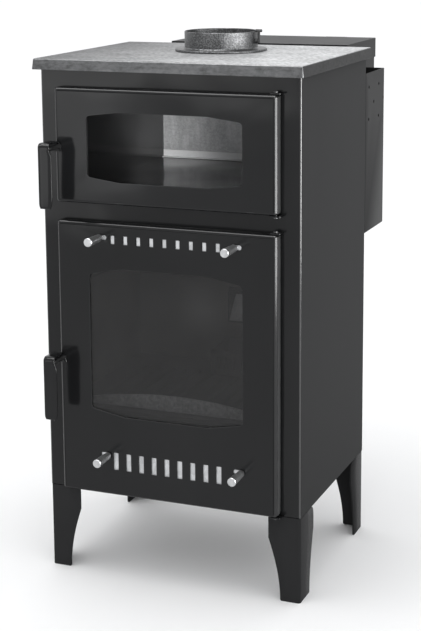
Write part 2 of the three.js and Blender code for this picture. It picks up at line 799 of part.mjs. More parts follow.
// Hinge tabs stand on the front frame above and below a door, and their pins reach into it
function hinges(name, bottom, top) {
  const tabShape = outline([
    [hingeX - tabLeft, -gap], [hingeX - tabLeft, hingeY - tabFront, tabCorner],
    [hingeX + tabRight, hingeY - tabFront, tabCorner], [hingeX + tabRight, -gap],
  ]);
  for (const [place, edge, side] of [['top', top, 1], ['bottom', bottom, -1]]) {
    const inner = edge + side * gap;
    const outer = inner + side * tabThickness;
    const [low, high] = [inner, outer].sort((a, b) => a - b);
    const hole = bar('z', hingePinRadius + gap, low - overrun, high + overrun, [hingeX, hingeY]);
    piece(`${name}_hinge_tab_${place}`, extrudeUp(tabShape, low, high).subtract(hole), 'glossBlack');
    const headInner = outer + side * gap;
    const headOuter = headInner + side * hingeHead;
    const pinEnd = edge - side * hingePinDepth;
    const [pinLow, pinHigh] = [pinEnd, headInner].sort((a, b) => a - b);
    const [headLow, headHigh] = [headInner, headOuter].sort((a, b) => a - b);
    const pin = bar('z', hingePinRadius, pinLow, pinHigh, [hingeX, hingeY]);
    const head = bar('z', hingeHeadRadius, headLow, headHigh, [hingeX, hingeY]);
    piece(`${name}_hinge_pin_${place}`, pin.add(head), 'chrome');
  }
}

// One row of air slots: cuts for the door shell, a window in its back plate and the slide behind
function airRow(row) {
  const { slotZ, slotWidth, slotHeight, offset, back, out, knobXs, knobLift } = row;
  const xs = Array.from({ length: airSlotCount }, (_, index) => (index - (airSlotCount - 1) / 2) * airSlotPitch);
  const slotAt = (x, low, high) => block([x - slotWidth / 2, low, slotZ - slotHeight / 2],
    [x + slotWidth / 2, high, slotZ + slotHeight / 2]);
  const stemCut = knobStemRadius + gap;
  const knobZ = slotZ + knobLift;
  const knobSlots = knobXs.map((x) => block([x - back - stemCut, doorFront - overrun, knobZ - stemCut],
    [x + out + stemCut, skinBack + overrun, knobZ + stemCut]));
  const shellCuts = [...xs.map((x) => slotAt(x, doorFront - overrun, skinBack + overrun)), ...knobSlots];
  const span = airSlotPitch * airSlotCount / 2;
  const plateCut = block([-span, backPlateY - overrun, slotZ - slotHeight / 2],
    [span, backPlateY + overrun, slotZ + slotHeight / 2]);

  const slideFront = skinBack + gap;
  const slideBack = slideFront + slideSheet;
  let slide = block([knobXs[0] - slideEndMargin, slideFront, slotZ - slotHeight / 2 - slideMargin],
    [knobXs[1] + slideEndMargin, slideBack, slotZ + slotHeight / 2 + slideMargin]);
  for (const x of xs) slide = slide.subtract(slotAt(x + offset, slideFront - overrun, slideBack + overrun));
  return { shellCuts, plateCut, slide, slideFront, knobZ, knobXs };
}

// Knob: a stem through the door's short slot, swelling to a round polished face
function knob(x, z, root) {
  const stemEnd = doorFront - knobStemLength;
  const profile = [
    [0, -root], [knobStemRadius, -root], [knobStemRadius, -stemEnd], [knobRootRadius, -stemEnd],
    [knobFaceRadius, -knobTip - knobEdge], [knobFaceRadius - knobEdge, -knobTip], [0, -knobTip],
  ];
  const geometry = new THREE.LatheGeometry(profile.map(([r, h]) => new THREE.Vector2(r, h)), smallSideCount);
  geometry.rotateX(Math.PI);
  geometry.translate(x, 0, z);
  return solidOf(geometry);
}

function doors() {
  const oven = door('oven', {
    bottom: ovenDoorBottom, top: ovenDoorTop, windowInset: ovenWindowInset,
    windowBottom: ovenWindowBottom, windowTop: ovenWindowTop, chamfer: ovenWindowChamfer,
    mouth: [ovenHalf, ovenFloor, ovenRoof], handleZ: ovenHandleZ,
  });
  piece('oven_door', oven.shell, 'glossBlack');
  piece('oven_door_back_plate', oven.backPlate, 'darkIron');

  const fire = door('firebox', {
    bottom: fireDoorBottom, top: fireDoorTop, windowInset: fireWindowInset,
    windowBottom: fireWindowBottom, windowTop: fireWindowTop, chamfer: fireWindowChamfer,
    mouth: [fireMouthHalf, fireMouthBottom, fireMouthTop], handleZ: fireHandleZ,
  });
  const rows = [
    ['upper', airRow({
      slotZ: upperSlotZ, slotWidth: upperSlotWidth, slotHeight: upperSlotHeight, offset: upperSlideOffset,
      back: upperTravelBack, out: upperTravelOut, knobXs: upperKnobXs, knobLift: upperKnobLift,
    })],
    ['lower', airRow({
      slotZ: lowerSlotZ, slotWidth: lowerSlotWidth, slotHeight: lowerSlotHeight, offset: lowerSlideOffset,
      back: lowerTravelBack, out: lowerTravelOut, knobXs: lowerKnobXs, knobLift: lowerKnobLift,
    })],
  ];
  let { shell, backPlate } = fire;
  for (const [name, row] of rows) {
    for (const cut of row.shellCuts) shell = shell.subtract(cut);
    backPlate = backPlate.subtract(row.plateCut);
    piece(`${name}_air_slide`, row.slide, 'zinc');
    row.knobXs.forEach((x, index) => {
      const side = ['left', 'right'][index];
      piece(`${name}_knob_${side}`, knob(x, row.knobZ, row.slideFront - gap), 'chrome');
    });
  }
  piece('firebox_door', shell, 'glossBlack');
  piece('firebox_door_back_plate', backPlate, 'darkIron');

  handle('oven', ovenHandleZ, ovenHalf);
  handle('firebox', fireHandleZ, fireMouthHalf);
  hinges('oven', ovenDoorBottom, ovenDoorTop);
  hinges('firebox', fireDoorBottom, fireDoorTop);
}

function hopper() {
  const left = hopperX - hopperHalf;
  const right = hopperX + hopperHalf;
  const outletLeft = hopperX - chuteWidth / 2 - chuteSheet;
  const outletRight = hopperX + chuteWidth / 2 + chuteSheet;
  const outletFront = chuteY - chuteBore / 2 - chuteSheet;
  const outletRear = chuteY + chuteBore / 2 + chuteSheet;
  const outletLevel = (inset, height) => [
    outletLeft + inset, outletRight - inset, outletFront + inset, outletRear - inset, height];
  const boxLevel = (inset, height) => [
    left + inset, right - inset, hopperFront + inset, hopperRear - inset, height];
  let body = loft([boxLevel(0, hopperShoulder), boxLevel(0, rimTop)]).subtract(loft([
    boxLevel(hopperSheet, hopperShoulder - overrun), boxLevel(hopperSheet, rimTop + overrun)]));
  const funnelTop = hopperShoulder - gap;
  const funnel = loft([outletLevel(0, hopperOutlet), boxLevel(0, funnelTop)]).subtract(loft([
    outletLevel(hopperSheet, hopperOutlet - overrun), outletLevel(hopperSheet, hopperOutlet),
    boxLevel(hopperSheet, funnelTop), boxLevel(hopperSheet, funnelTop + overrun)]));
  piece('hopper_funnel', funnel, 'hopperGrey');
  const earInner = hopperHalf - lidKnuckleInset + lidKnuckleWidth / 2 + gap;
  for (const side of [-1, 1]) {
    const [low, high] = [hopperX + side * earInner, hopperX + side * (earInner + lidEarWidth)]
      .sort((a, b) => a - b);
    const ear = bar('x', lidKnuckleRadius, low, high, [lidPinY, lidPinZ]);
    const root = block([low, hopperRear - hopperSheet / 2, lidPinZ - lidKnuckleRadius],
      [high, lidPinY, lidPinZ]);
    body = body.add(ear.add(root).subtract(bar('x', lidPinRadius + gap, low - overrun, high + overrun,
      [lidPinY, lidPinZ])));
  }
  piece('pellet_hopper', body, 'hopperGrey');

  const pinReach = earInner + lidEarWidth;
  piece('lid_hinge_pin', bar('x', lidPinRadius, hopperX - pinReach, hopperX + pinReach,
    [lidPinY, lidPinZ]), 'zinc');

  const pipe = chutePipe(chuteSheet, 0).subtract(chutePipe(0, overrun));
  piece('pellet_chute', pipe, 'hopperGrey');
}

// Lid: a shallow cover with a skirt on three sides and two knuckles along its rear edge
function lid() {
  const reach = lidSheet + lidClearance;
  const left = hopperX - hopperHalf - reach;
  const right = hopperX + hopperHalf + reach;
  const bottom = lidTop - lidSkirt;
  const plan = outline([
    [left, lidFront, lidCorner], [right, lidFront, lidCorner],
    [right, hopperRear + reach, lidCorner], [left, hopperRear + reach, lidCorner],
  ]);
  const inside = block([left + lidSheet, lidFront + lidSheet, bottom - overrun],
    [right - lidSheet, hopperRear + reach + overrun, lidTop - lidSheet]);
  let cover = extrudeUp(plan, bottom, lidTop).subtract(inside);
  for (const side of [-1, 1]) {
    const middle = hopperX + side * (hopperHalf - lidKnuckleInset);
    const low = middle - lidKnuckleWidth / 2;
    const high = middle + lidKnuckleWidth / 2;
    const knuckle = bar('x', lidKnuckleRadius, low, high, [lidPinY, lidPinZ]);
    const leaf = block([low, hopperRear + lidClearance, lidTop - lidSheet], [high, lidPinY, lidTop]);
    const web = block([low, lidPinY - lidSheet / 2, lidPinZ], [high, lidPinY + lidSheet / 2, lidTop]);
    const bore = bar('x', lidPinRadius + gap, low - overrun, high + overrun, [lidPinY, lidPinZ]);
    cover = cover.add(knuckle.add(leaf).add(web).subtract(bore));
  }
  piece('hopper_lid', cover, 'hopperGrey');
}

// Guards: folded sheets that close the space beside the hopper, with a few vent holes
function hopperGuards() {
  const hopperSides = { left: hopperX - hopperHalf - gap, right: hopperX + hopperHalf + gap };
  for (const [name, side] of [['left', -1], ['right', 1]]) {
    const outer = side * halfCasing;
    const inner = outer - side * guardSheet;
    const front = casingDepth + gap;
    const plan = outline([
      [outer, front, guardSheet], [outer, guardRear, guardSheet], [hopperSides[name], guardRear],
      [hopperSides[name], guardRear - guardSheet], [inner, guardRear - guardSheet],
      [inner, front + guardSheet], [outer - side * guardLip, front + guardSheet],
      [outer - side * guardLip, front],
    ]);
    let guard = extrudeUp(plan, guardBottom, guardTop);
    for (let row = 0; row < guardHoleRows; row += 1) {
      for (let column = 0; column < guardHolesPerRow; column += 1) {
        const y = casingDepth + guardHoleFirst + (column + (row % 2) / 2) * guardHolePitch;
        const z = guardTop - guardHoleTop - row * guardHoleRowPitch;
        guard = guard.subtract(bar('x', guardHoleRadius, Math.min(outer, inner) - overrun,
          Math.max(outer, inner) + overrun, [y, z]));
      }
    }
    piece(`${name}_hopper_guard`, guard, 'sideBlack');
  }
}

casing();
topPlate();
flue();
legs();
ovenInside();
firebox();
pelletBasket();
doors();
hopper();
lid();
hopperGuards();

// The origin is on the floor, under the middle of the stove's length
stove.position.set(0, -(knobTip + stoveRear) / 2, 0);
const scene = new THREE.Group();
scene.add(stove);

export default scene;
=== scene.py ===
import math

import bmesh
import bpy
from mathutils import Matrix, Vector


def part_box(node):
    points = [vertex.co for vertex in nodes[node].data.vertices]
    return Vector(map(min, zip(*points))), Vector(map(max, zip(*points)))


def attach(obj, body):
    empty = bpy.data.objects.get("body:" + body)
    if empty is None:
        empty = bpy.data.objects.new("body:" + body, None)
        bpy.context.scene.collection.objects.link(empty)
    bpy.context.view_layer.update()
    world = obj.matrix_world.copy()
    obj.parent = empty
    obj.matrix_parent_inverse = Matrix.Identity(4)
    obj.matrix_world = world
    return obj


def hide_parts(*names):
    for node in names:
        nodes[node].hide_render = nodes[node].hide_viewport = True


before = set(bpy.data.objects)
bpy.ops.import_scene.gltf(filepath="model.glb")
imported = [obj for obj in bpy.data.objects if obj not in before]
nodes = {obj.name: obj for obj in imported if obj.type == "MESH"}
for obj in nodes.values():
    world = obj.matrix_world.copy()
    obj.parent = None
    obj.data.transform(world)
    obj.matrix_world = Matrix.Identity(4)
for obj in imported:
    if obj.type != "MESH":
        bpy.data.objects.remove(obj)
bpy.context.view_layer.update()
mm = 0.001
print("frame loaded with", len(nodes), "nodes")


def linked(name, data):
    made = bpy.data.objects.new(name, data)
    bpy.context.scene.collection.objects.link(made)
    return made


# Sizes written in millimetres, as metres
def metres(sizes):
    if isinstance(sizes, dict):
        return {name: metres(size) for name, size in sizes.items()}
    if isinstance(sizes, tuple):
        return tuple(metres(size) for size in sizes)
    return sizes * mm


# Camera and studio
camera = {
    "place": (0.971, -2.46075, 1.092),
    "yaw": 22.05, "pitch": 9.92, "roll": -0.43,
    "focal": 1531.1,            # in pixels of the photograph
    "imageHeight": 631, "middleRow": 190, "sensor": 36,
}


def placeCamera(look):
    yaw, pitch, roll = (math.radians(look[key]) for key in ("yaw", "pitch", "roll"))
    ahead = Vector((-math.sin(yaw) * math.cos(pitch), math.cos(yaw) * math.cos(pitch), -math.sin(pitch)))
    level = Vector((math.cos(yaw), math.sin(yaw), 0))
    over = level.cross(ahead)
    right = level * math.cos(roll) + over * math.sin(roll)
    up = over * math.cos(roll) - level * math.sin(roll)
    data = bpy.data.cameras.new("photoView")
    data.sensor_fit = "AUTO"
    data.sensor_width = look["sensor"]
    data.lens = look["focal"] / look["imageHeight"] * look["sensor"]
    data.shift_y = (look["middleRow"] - look["imageHeight"] / 2) / look["imageHeight"]
    view = linked("photoView", data)
    turn = Matrix((right, up, -ahead)).transposed().to_4x4()
    view.matrix_world = Matrix.Translation(look["place"]) @ turn
    bpy.context.scene.camera = view


# Soft boxes: where each stands, what it faces, its width and height in metres and how bright its face is.
# One whose name ends in Card lights only what shines, as a white board held near the stove does.
softBoxes = {
    "overhead": {"place": (-0.3, -0.5, 2.6), "aim": (0, 0, 0.6), "size": (1.8, 1.4), "glow": 1.6},
    "rightCard": {"place": (1.9, -0.75, 0.6), "aim": (0, -0.1, 0.6), "size": (2.4, 1.1), "glow": 14.0},
    "topCard": {"place": (-0.3, -0.9, 2.7), "aim": (0, -0.2, 0.6), "size": (2.4, 1.4), "glow": 7.0},
    "leftCard": {"place": (-1.05, -2.4, 0.8), "aim": (-0.1, -0.25, 0.8), "size": (1.1, 0.4), "glow": 2.0},
    "lowCard": {"place": (-1.35, -2.35, 0.42), "aim": (-0.1, -0.25, 0.6), "size": (0.5, 0.4), "glow": 1.6},
}
# Narrow lamps that shine through a window, onto the oven's back wall and the chute's mouth; power in watts
lamps = {
    "ovenLamp": {
        "place": (0.3, -2.3, 0.79), "aim": (-0.14, 0, 0.715), "power": 190, "spread": 5.4, "soft": 1.0,
        "radius": 0.06},
    "chuteLamp": {
        "place": (0.35, -2.3, 0.95), "aim": (0.018, 0.08, 0.405), "power": 200, "spread": 2.1, "soft": 0.9,
        "radius": 0.03},
}
studio = {"air": (0.985, 0.99, 1.0), "airStrength": 1.08, "floorSize": 60}


def addLight(name, kind, look, settings):
    data = bpy.data.lights.new(name, kind)
    for key, value in settings.items():
        setattr(data, key, value)
    light = linked(name, data)
    light.location = look["place"]
    aim = Vector(look["aim"]) - Vector(look["place"])
    light.rotation_euler = aim.to_track_quat("-Z", "Y").to_euler()
    light.visible_camera = False
    return light


def lightStudio(look):
    world = bpy.data.worlds.new("studioAir")
    bpy.context.scene.world = world
    bpy.context.scene.view_settings.view_transform = "Standard"
    world.use_nodes = True
    air = world.node_tree.nodes["Background"]
    air.inputs["Color"].default_value = (*look["air"], 1)
    air.inputs["Strength"].default_value = look["airStrength"]
    for name, box in softBoxes.items():
        wide, high = box["size"]
        light = addLight(name, "AREA", box, {
            "shape": "RECTANGLE", "size": wide, "size_y": high,
            "energy": box["glow"] * math.pi * wide * high})
        light.visible_diffuse = not name.endswith("Card")
    for name, lamp in lamps.items():
        addLight(name, "SPOT", lamp, {
            "energy": lamp["power"], "spot_size": math.radians(lamp["spread"]),
            "spot_blend": lamp["soft"], "shadow_soft_size": lamp["radius"]})


placeCamera(camera)
lightStudio(studio)
print("camera and lights placed")


# An operator and its reflected form, each of which adds a Math node
def operators(operation):
    def plain(self, other):
        return self.owner.maths(operation, self, other)

    def reflected(self, other):
        return self.owner.maths(operation, other, self)

    return plain, reflected


# A socket that takes part in Python sums
class Signal:
    __add__, __radd__ = operators("ADD")
    __sub__, __rsub__ = operators("SUBTRACT")
    __mul__, __rmul__ = operators("MULTIPLY")
    __truediv__, __rtruediv__ = operators("DIVIDE")

    def __init__(self, owner, socket):
        self.owner, self.socket = owner, socket


# A shader or geometry tree, whose nodes all come from one method
class NodeTree:
    def __init__(self, tree):
        self.tree = tree

    def node(self, kind, sockets=None, settings=None, output=0):
        made = self.tree.nodes.new(kind)
        for key, value in (settings or {}).items():
            if key == "stops":
                ramp = made.color_ramp.elements
                while len(ramp) < len(value):
                    ramp.new(0.5)
                for stop, (position, shade) in zip(ramp, value):
                    stop.position, stop.color = position, (shade, shade, shade, 1)
            else:
                setattr(made, key, value)
        for key, value in (sockets or {}).items():
            if isinstance(value, (Signal, list)):
                for item in value if isinstance(value, list) else [value]:
                    self.tree.links.new(item.socket, made.inputs[key])
            else:
                made.inputs[key].default_value = value
        return Signal(self, made.outputs[output])

    def maths(self, operation, first, second=0.0):
        return self.node("ShaderNodeMath", {0: first, 1: second}, {"operation": operation})

    def vector(self, operation, sockets):
        return self.node("ShaderNodeVectorMath", sockets, {"operation": operation})


# A material with one Principled surface, and the calls that build what feeds it
class Finish(NodeTree):
    def __init__(self, name, metallic=0.0, specular=0.5):
        self.material = bpy.data.materials.new(name)
        self.material.use_nodes = True
        super().__init__(self.material.node_tree)
        self.surface = self.tree.nodes["Principled BSDF"]
        self.surface.inputs["Metallic"].default_value = metallic
        self.surface.inputs["Specular IOR Level"].default_value = specular
        self.place = self.node("ShaderNodeTexCoord", output="Object")

    def noise(self, scale, detail=2.0, stretch=(1, 1, 1), roughness=0.5):
        place = self.node("ShaderNodeMapping", {"Vector": self.place, "Scale": stretch})
        return self.node("ShaderNodeTexNoise", {
            "Vector": place, "Scale": scale, "Detail": detail, "Roughness": roughness})

    def speckle(self, scale, output="Distance"):
        return self.node("ShaderNodeTexVoronoi", {"Vector": self.place, "Scale": scale}, output=output)

    def ramp(self, signal, *stops):
        return self.node("ShaderNodeValToRGB", {"Fac": signal}, {"stops": stops})

    def mix(self, share, first, second):
        first, second = ((*item, 1) if isinstance(item, tuple) else item for item in (first, second))
        return self.node("ShaderNodeMix", {0: share, 6: first, 7: second}, {"data_type": "RGBA"}, 2)

    def feed(self, socket, signal):
        self.tree.links.new(signal.socket, self.surface.inputs[socket])

    def bump(self, height, strength, depth):
        self.feed("Normal", self.node("ShaderNodeBump", {
            "Height": height, "Strength": strength, "Distance": depth}, output="Normal"))


def enamelFinish(name, look):
    look = {**enamelDefaults, **look}
    made = Finish(name, specular=look["specular"])
    cloud = made.noise(look["cloud"], 3.0)
    streak = made.noise(look["streak"], 3.0, look["streakStretch"])
    wear = cloud * 0.6 + streak * 0.4
    shade = made.mix(wear, look["dark"], look["light"])
    if "fall" in look:                  # painted shade: darker toward the floor
        height = made.node("ShaderNodeSeparateXYZ", {0: made.place}, output=2)
        shade = made.mix(made.node("ShaderNodeMapRange", {0: height, 1: 0.0, 2: 0.87}), look["fall"], shade)
    made.feed("Base Color", shade)
    made.feed("Roughness", look["roughness"] + (wear - 0.5) * look["roughnessSpread"])
    relief = made.noise(look["peelScale"], 1.0)
    if "wave" in look:                  # the sheet is a little wavy, which bends what it mirrors
        relief = relief + made.noise(4.5, 1.5) * (look["wave"] * 100)
    made.bump(relief, look["peel"], 0.2 * mm)
    return made.material


enamelDefaults = {"roughnessSpread": 0.1, "streakStretch": (1, 1, 0.12), "peelScale": 520, "peel": 0.05}
enamelLooks = {
    "frontEnamel": {
        "dark": (0.006, 0.0062, 0.0066), "light": (0.014, 0.0143, 0.015), "specular": 0.2,
        "roughness": 0.13, "cloud": 5, "streak": 14, "wave": 9,
    },
    # Lighter, glossier copies of the front enamel for outer bends: painted highlight
    "edgeEnamel": {
        "dark": (0.02, 0.0202, 0.0206), "light": (0.03, 0.0303, 0.031), "specular": 0.85,
        "roughness": 0.16, "cloud": 5, "streak": 30,
    },
    "bendEnamel": {
        "dark": (0.012, 0.0122, 0.0126), "light": (0.03, 0.0303, 0.031), "specular": 0.3,
        "roughness": 0.13, "roughnessSpread": 0.12, "cloud": 8, "streak": 40,
    },
    # The side panels' enamel is painted lighter than the front's, a painted reflection standing for the light
    # sheen the sides show
    "sideEnamel": {
        "dark": (0.034, 0.0343, 0.0348), "light": (0.052, 0.0523, 0.053), "fall": (0.028, 0.0282, 0.0286),
        "specular": 0.005, "roughness": 0.3, "cloud": 3, "streak": 9, "peelScale": 420, "peel": 0.1,
    },
    "legEnamel": {
        "dark": (0.018, 0.0182, 0.0187), "light": (0.031, 0.0313, 0.032), "specular": 0.015,
        "roughness": 0.24, "cloud": 6, "streak": 12, "peelScale": 420, "peel": 0.08,
    },
    # The doors' folded side faces: a duller enamel painted much lighter than the front's, painted light
    "rimEnamel": {
        "dark": (0.06, 0.0605, 0.061), "light": (0.12, 0.121, 0.122), "specular": 0.3,
        "roughness": 0.3, "cloud": 20, "streak": 60, "streakStretch": (1, 1, 0.05),
    },
    "hopperEnamel": {
        "dark": (0.008, 0.0081, 0.0084), "light": (0.02, 0.0202, 0.0208), "specular": 0.08,
        "roughness": 0.42, "roughnessSpread": 0.12, "cloud": 6, "streak": 20,
        "peelScale": 380, "peel": 0.12,
    },
}


def brushedFinish(name, look):
    made = Finish(name, metallic=look["metallic"], specular=look["specular"])
    grain = made.noise(look["grain"], 4.0, look["stretch"], 0.75)
    lines = made.noise(look["grain"] * 0.5, 2.0, (0.05, 1, 1), 0.6)
    cloud = made.noise(look["cloud"], 4.0)
    tone = grain * 0.55 + lines * 0.25 + cloud * 0.2
    if "fleck" in look:
        tone = tone * 0.6 + made.noise(look["fleck"], 1.0, (0.7, 1, 1)) * 0.4
    spread = look["spread"]
    shade = made.ramp(tone, (0.5 - spread, 0.0), (0.5, 0.55), (0.5 + spread, 1.0))
    dark, light = look["dark"], look["light"]
    if "stain" in look:                 # painted shade: the plate is darker toward its left
        side = made.node("ShaderNodeSeparateXYZ", {0: made.place})
        clear = made.node("ShaderNodeMapRange", {0: side + (cloud - 0.5) * 0.12, 1: -0.22, 2: 0.16})
        light = made.mix(clear, look["stain"], light)
        dark = made.mix(clear, look["darkStain"], dark)
    made.feed("Base Color", made.mix(shade, dark, light))
    made.feed("Roughness", look["roughness"] + (0.5 - tone) * look["roughnessSpread"])
    made.bump(grain * 0.7 + lines * 0.3, 0.35, 0.15 * mm)
    return made.material


brushedLooks = {
    "plateSteel": {
        "dark": (0.17, 0.172, 0.175), "light": (0.66, 0.665, 0.67), "stain": (0.15, 0.152, 0.155),
        "darkStain": (0.03, 0.0305, 0.031), "grain": 130, "fleck": 210, "spread": 0.13, "cloud": 16,
        "metallic": 0.4, "specular": 0.4, "roughness": 0.55, "roughnessSpread": 0.25, "stretch": (0.7, 1, 1),
    },
    # Darker copies of the plate's steel for its skirt, painted shade
    "skirtSteel": {
        "dark": (0.03, 0.0305, 0.031), "light": (0.15, 0.152, 0.155), "grain": 180, "spread": 0.16,
        "cloud": 22, "metallic": 0.7, "specular": 0.4, "roughness": 0.4, "roughnessSpread": 0.3,
        "stretch": (0.5, 1, 1),
    },
    "burnishedSkirt": {
        "dark": (0.008, 0.0081, 0.0083), "light": (0.028, 0.0282, 0.0287), "grain": 300, "spread": 0.16,
        "cloud": 18, "metallic": 0.1, "specular": 0.1, "roughness": 0.45, "roughnessSpread": 0.2,
        "stretch": (1, 0.3, 1),
    },
}


def zincFinish(name, look):
    made = Finish(name, metallic=look["metallic"])
    cells = made.speckle(look["spangle"], "Color")
    spangle = made.node("ShaderNodeSeparateColor", {"Color": cells})
    streak = made.noise(look["streak"], 3.0, (1, 1, 0.2))
    tone = spangle * look["spangleShare"] + streak * (1 - look["spangleShare"])
    made.feed("Base Color", made.mix(tone, look["dark"], look["light"]))
    made.feed("Roughness", look["roughness"] + spangle * 0.16)
    made.bump(made.noise(700, 2.0), look["peel"], 0.1 * mm)
    return made.material


coarseZinc = {"streak": 60, "spangleShare": 0.45, "peel": 0.1}
fineZinc = {"spangle": 380, "streak": 110, "spangleShare": 0.3, "peel": 0.02}
zincLooks = {
    "zincSheet": {
        **coarseZinc, "dark": (0.34, 0.345, 0.35), "light": (0.66, 0.668, 0.68), "spangle": 90,
        "metallic": 0.75, "roughness": 0.36},
    "linerZinc": {
        **fineZinc, "dark": (0.3, 0.304, 0.308), "light": (0.78, 0.788, 0.8), "metallic": 0.45,
        "roughness": 0.3},
    "dullZinc": {
        **coarseZinc, "dark": (0.6, 0.605, 0.61), "light": (0.85, 0.855, 0.86), "spangle": 60,
        "metallic": 0.1, "roughness": 0.5},
    # Near-white zinc for the oven's back rail, a painted highlight along it
    "brightZinc": {
        **fineZinc, "dark": (0.84, 0.845, 0.85), "light": (0.95, 0.955, 0.96), "metallic": 0.1,
        "roughness": 0.4},
}


def castFinish(name, look):
    made = Finish(name, metallic=look["metallic"])
    grit = made.noise(look["grit"], 3.0, roughness=0.7)
    pits = made.speckle(look["grit"] * 0.45)
    cloud = made.noise(45, 3.0)
    tone = grit * 0.5 + pits * 0.3 + cloud * 0.2
    shade = made.ramp(tone, (0.33, 0.0), (0.47, 0.3), (0.62, 1.0))
    made.feed("Base Color", made.mix(shade, look["dark"], look["light"]))
    made.feed("Roughness", look["roughness"] + grit * 0.25)
    made.bump(grit * 0.6 + pits * 0.4, 0.6, look["depth"] * mm)
    return made.material


castLooks = {
    # The log guard's iron is painted far lighter than the grate's, painted light
    "guardIron": {
        "dark": (0.3, 0.302, 0.305), "light": (0.55, 0.553, 0.556), "grit": 420, "metallic": 0.3,
        "roughness": 0.5, "depth": 0.3},
    "castCollar": {
        "dark": (0.026, 0.0262, 0.0267), "light": (0.16, 0.162, 0.165), "grit": 900, "metallic": 0.9,
        "roughness": 0.26, "depth": 0.5},
    "darkIron": {
        "dark": (0.012, 0.012, 0.0125), "light": (0.06, 0.0605, 0.062), "grit": 700, "metallic": 0.3,
        "roughness": 0.5, "depth": 0.3},
    "darkPin": {
        "dark": (0.05, 0.0505, 0.051), "light": (0.16, 0.161, 0.163), "grit": 900, "metallic": 0.9,
        "roughness": 0.2, "depth": 0.1},
}


def glassFinish(name, look):
    made = Finish(name, specular=look["specular"])
    haze = made.noise(7, 3.0)
    made.feed("Base Color", made.mix(haze, look["tint"], look["haze"]))
    made.feed("Roughness", look["roughness"] + haze * 0.05)
    made.feed("Alpha", look["alpha"] + haze * look["alphaSpread"])
    return made.material


glassLooks = {
    "ovenGlass": {
        "tint": (0.01, 0.01, 0.01), "haze": (0.02, 0.02, 0.02), "alpha": 0.06, "alphaSpread": 0.05,
        "roughness": 0.03, "specular": 0.0},
    "fireGlass": {
        "tint": (0.016, 0.016, 0.0163), "haze": (0.031, 0.031, 0.0315), "alpha": 0.46, "alphaSpread": 0.1,
        "roughness": 0.05, "specular": 0.36},
}


def chromeFinish(name):
    made = Finish(name, metallic=1.0)
    smear = made.noise(160, 3.0)
    made.feed("Base Color", made.mix(smear, (0.36, 0.365, 0.37), (0.56, 0.565, 0.57)))
    made.feed("Roughness", 0.28 + smear * 0.14)
    made.bump(made.noise(900, 1.0), 0.04, 0.05 * mm)
    return made.material


def boardFinish(name):
    made = Finish(name, specular=0.2)
    flakes = made.noise(90, 3.0)
    cloud = made.noise(9, 3.0)
    soot = made.ramp(cloud, (0.35, 0.0), (0.65, 1.0))
    made.feed("Base Color", made.mix(soot, (0.1, 0.094, 0.085), (0.22, 0.205, 0.18)))
    made.feed("Roughness", 0.8 + flakes * 0.15)
    made.bump(flakes * 0.6 + cloud * 0.4, 0.06, 0.2 * mm)
    return made.material


def ropeFinish(name):
    made = Finish(name, specular=0.2)
    fibre = made.noise(900, 4.0, roughness=0.8)
    made.feed("Base Color", made.mix(fibre, (0.05, 0.05, 0.05), (0.26, 0.255, 0.245)))
    made.feed("Roughness", 0.85 + fibre * 0.1)
    made.bump(fibre, 0.8, 0.4 * mm)
    return made.material


finishes = {}
for make, looks in (
    (enamelFinish, enamelLooks), (brushedFinish, brushedLooks), (zincFinish, zincLooks),
    (castFinish, castLooks), (glassFinish, glassLooks),
):
    for name, look in looks.items():
        finishes[name] = make(name, look)
for name, make in {"polishedPin": chromeFinish, "fireBoard": boardFinish, "sealRope": ropeFinish}.items():
    finishes[name] = make(name)
floorFinish = Finish("paleFloor", specular=0.1)
floorTone = floorFinish.mix(floorFinish.noise(3, 2.0), (0.95, 0.95, 0.95), (0.97, 0.97, 0.97))
floorFinish.feed("Base Color", floorTone)
floorFinish.surface.inputs["Roughness"].default_value = 0.9
print("finishes made:", len(finishes))


# The evaluated object as a plain mesh under the same name
def applied(made):
    bpy.context.view_layer.update()
    ready = made.evaluated_get(bpy.context.evaluated_depsgraph_get())
    mesh = bpy.data.meshes.new_from_object(ready)
    made.modifiers.clear()
    old = made.data
    made.data = mesh
    bpy.data.meshes.remove(old)
    mesh.name = made.name
    return made


def meshFrom(name, shape):
    mesh = bpy.data.meshes.new(name)
    shape.to_mesh(mesh)
    shape.free()
    return mesh


def smoothed(made, sharpAngle):
    made.data.shade_smooth()
    made.data.set_sharp_from_angle(angle=math.radians(sharpAngle))
    return made


# Smooth shading whose normals follow the larger faces
def levelled(made, sharpAngle=38):
    smoothed(made, sharpAngle).modifiers.new("levelNormals", "WEIGHTED_NORMAL").keep_sharp = True
    return applied(made)


def meshOf(name, shape, sharpAngle=38):
    bmesh.ops.recalc_face_normals(shape, faces=shape.faces)
    return levelled(linked(name, meshFrom(name, shape)), sharpAngle)


def breakEdges(made, width, segments, angle, harden=False):
    edge = made.modifiers.new("brokenEdge", "BEVEL")
    edge.width, edge.segments, edge.limit_method = width, segments, "ANGLE"
    edge.angle_limit, edge.harden_normals = math.radians(angle), harden
    return applied(made)


# A bent strip of faces as a sheet with its edges broken; the offset says to which side it grows
def thickened(name, shape, thickness, offset, *edge):
    made = linked(name, meshFrom(name, shape))
    made.data.shade_smooth()
    wall = made.modifiers.new("wall", "SOLIDIFY")
    wall.thickness, wall.offset, wall.use_even_offset = thickness, offset, True
    return breakEdges(made, *edge, True)


def dress(made, body, slot, finish, *replaced):
    made.data.materials.clear()
    for name in (finish,) if isinstance(finish, str) else finish:
        made.data.materials.append(finishes[name])
    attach(made, body)
    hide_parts(*replaced)
    return made


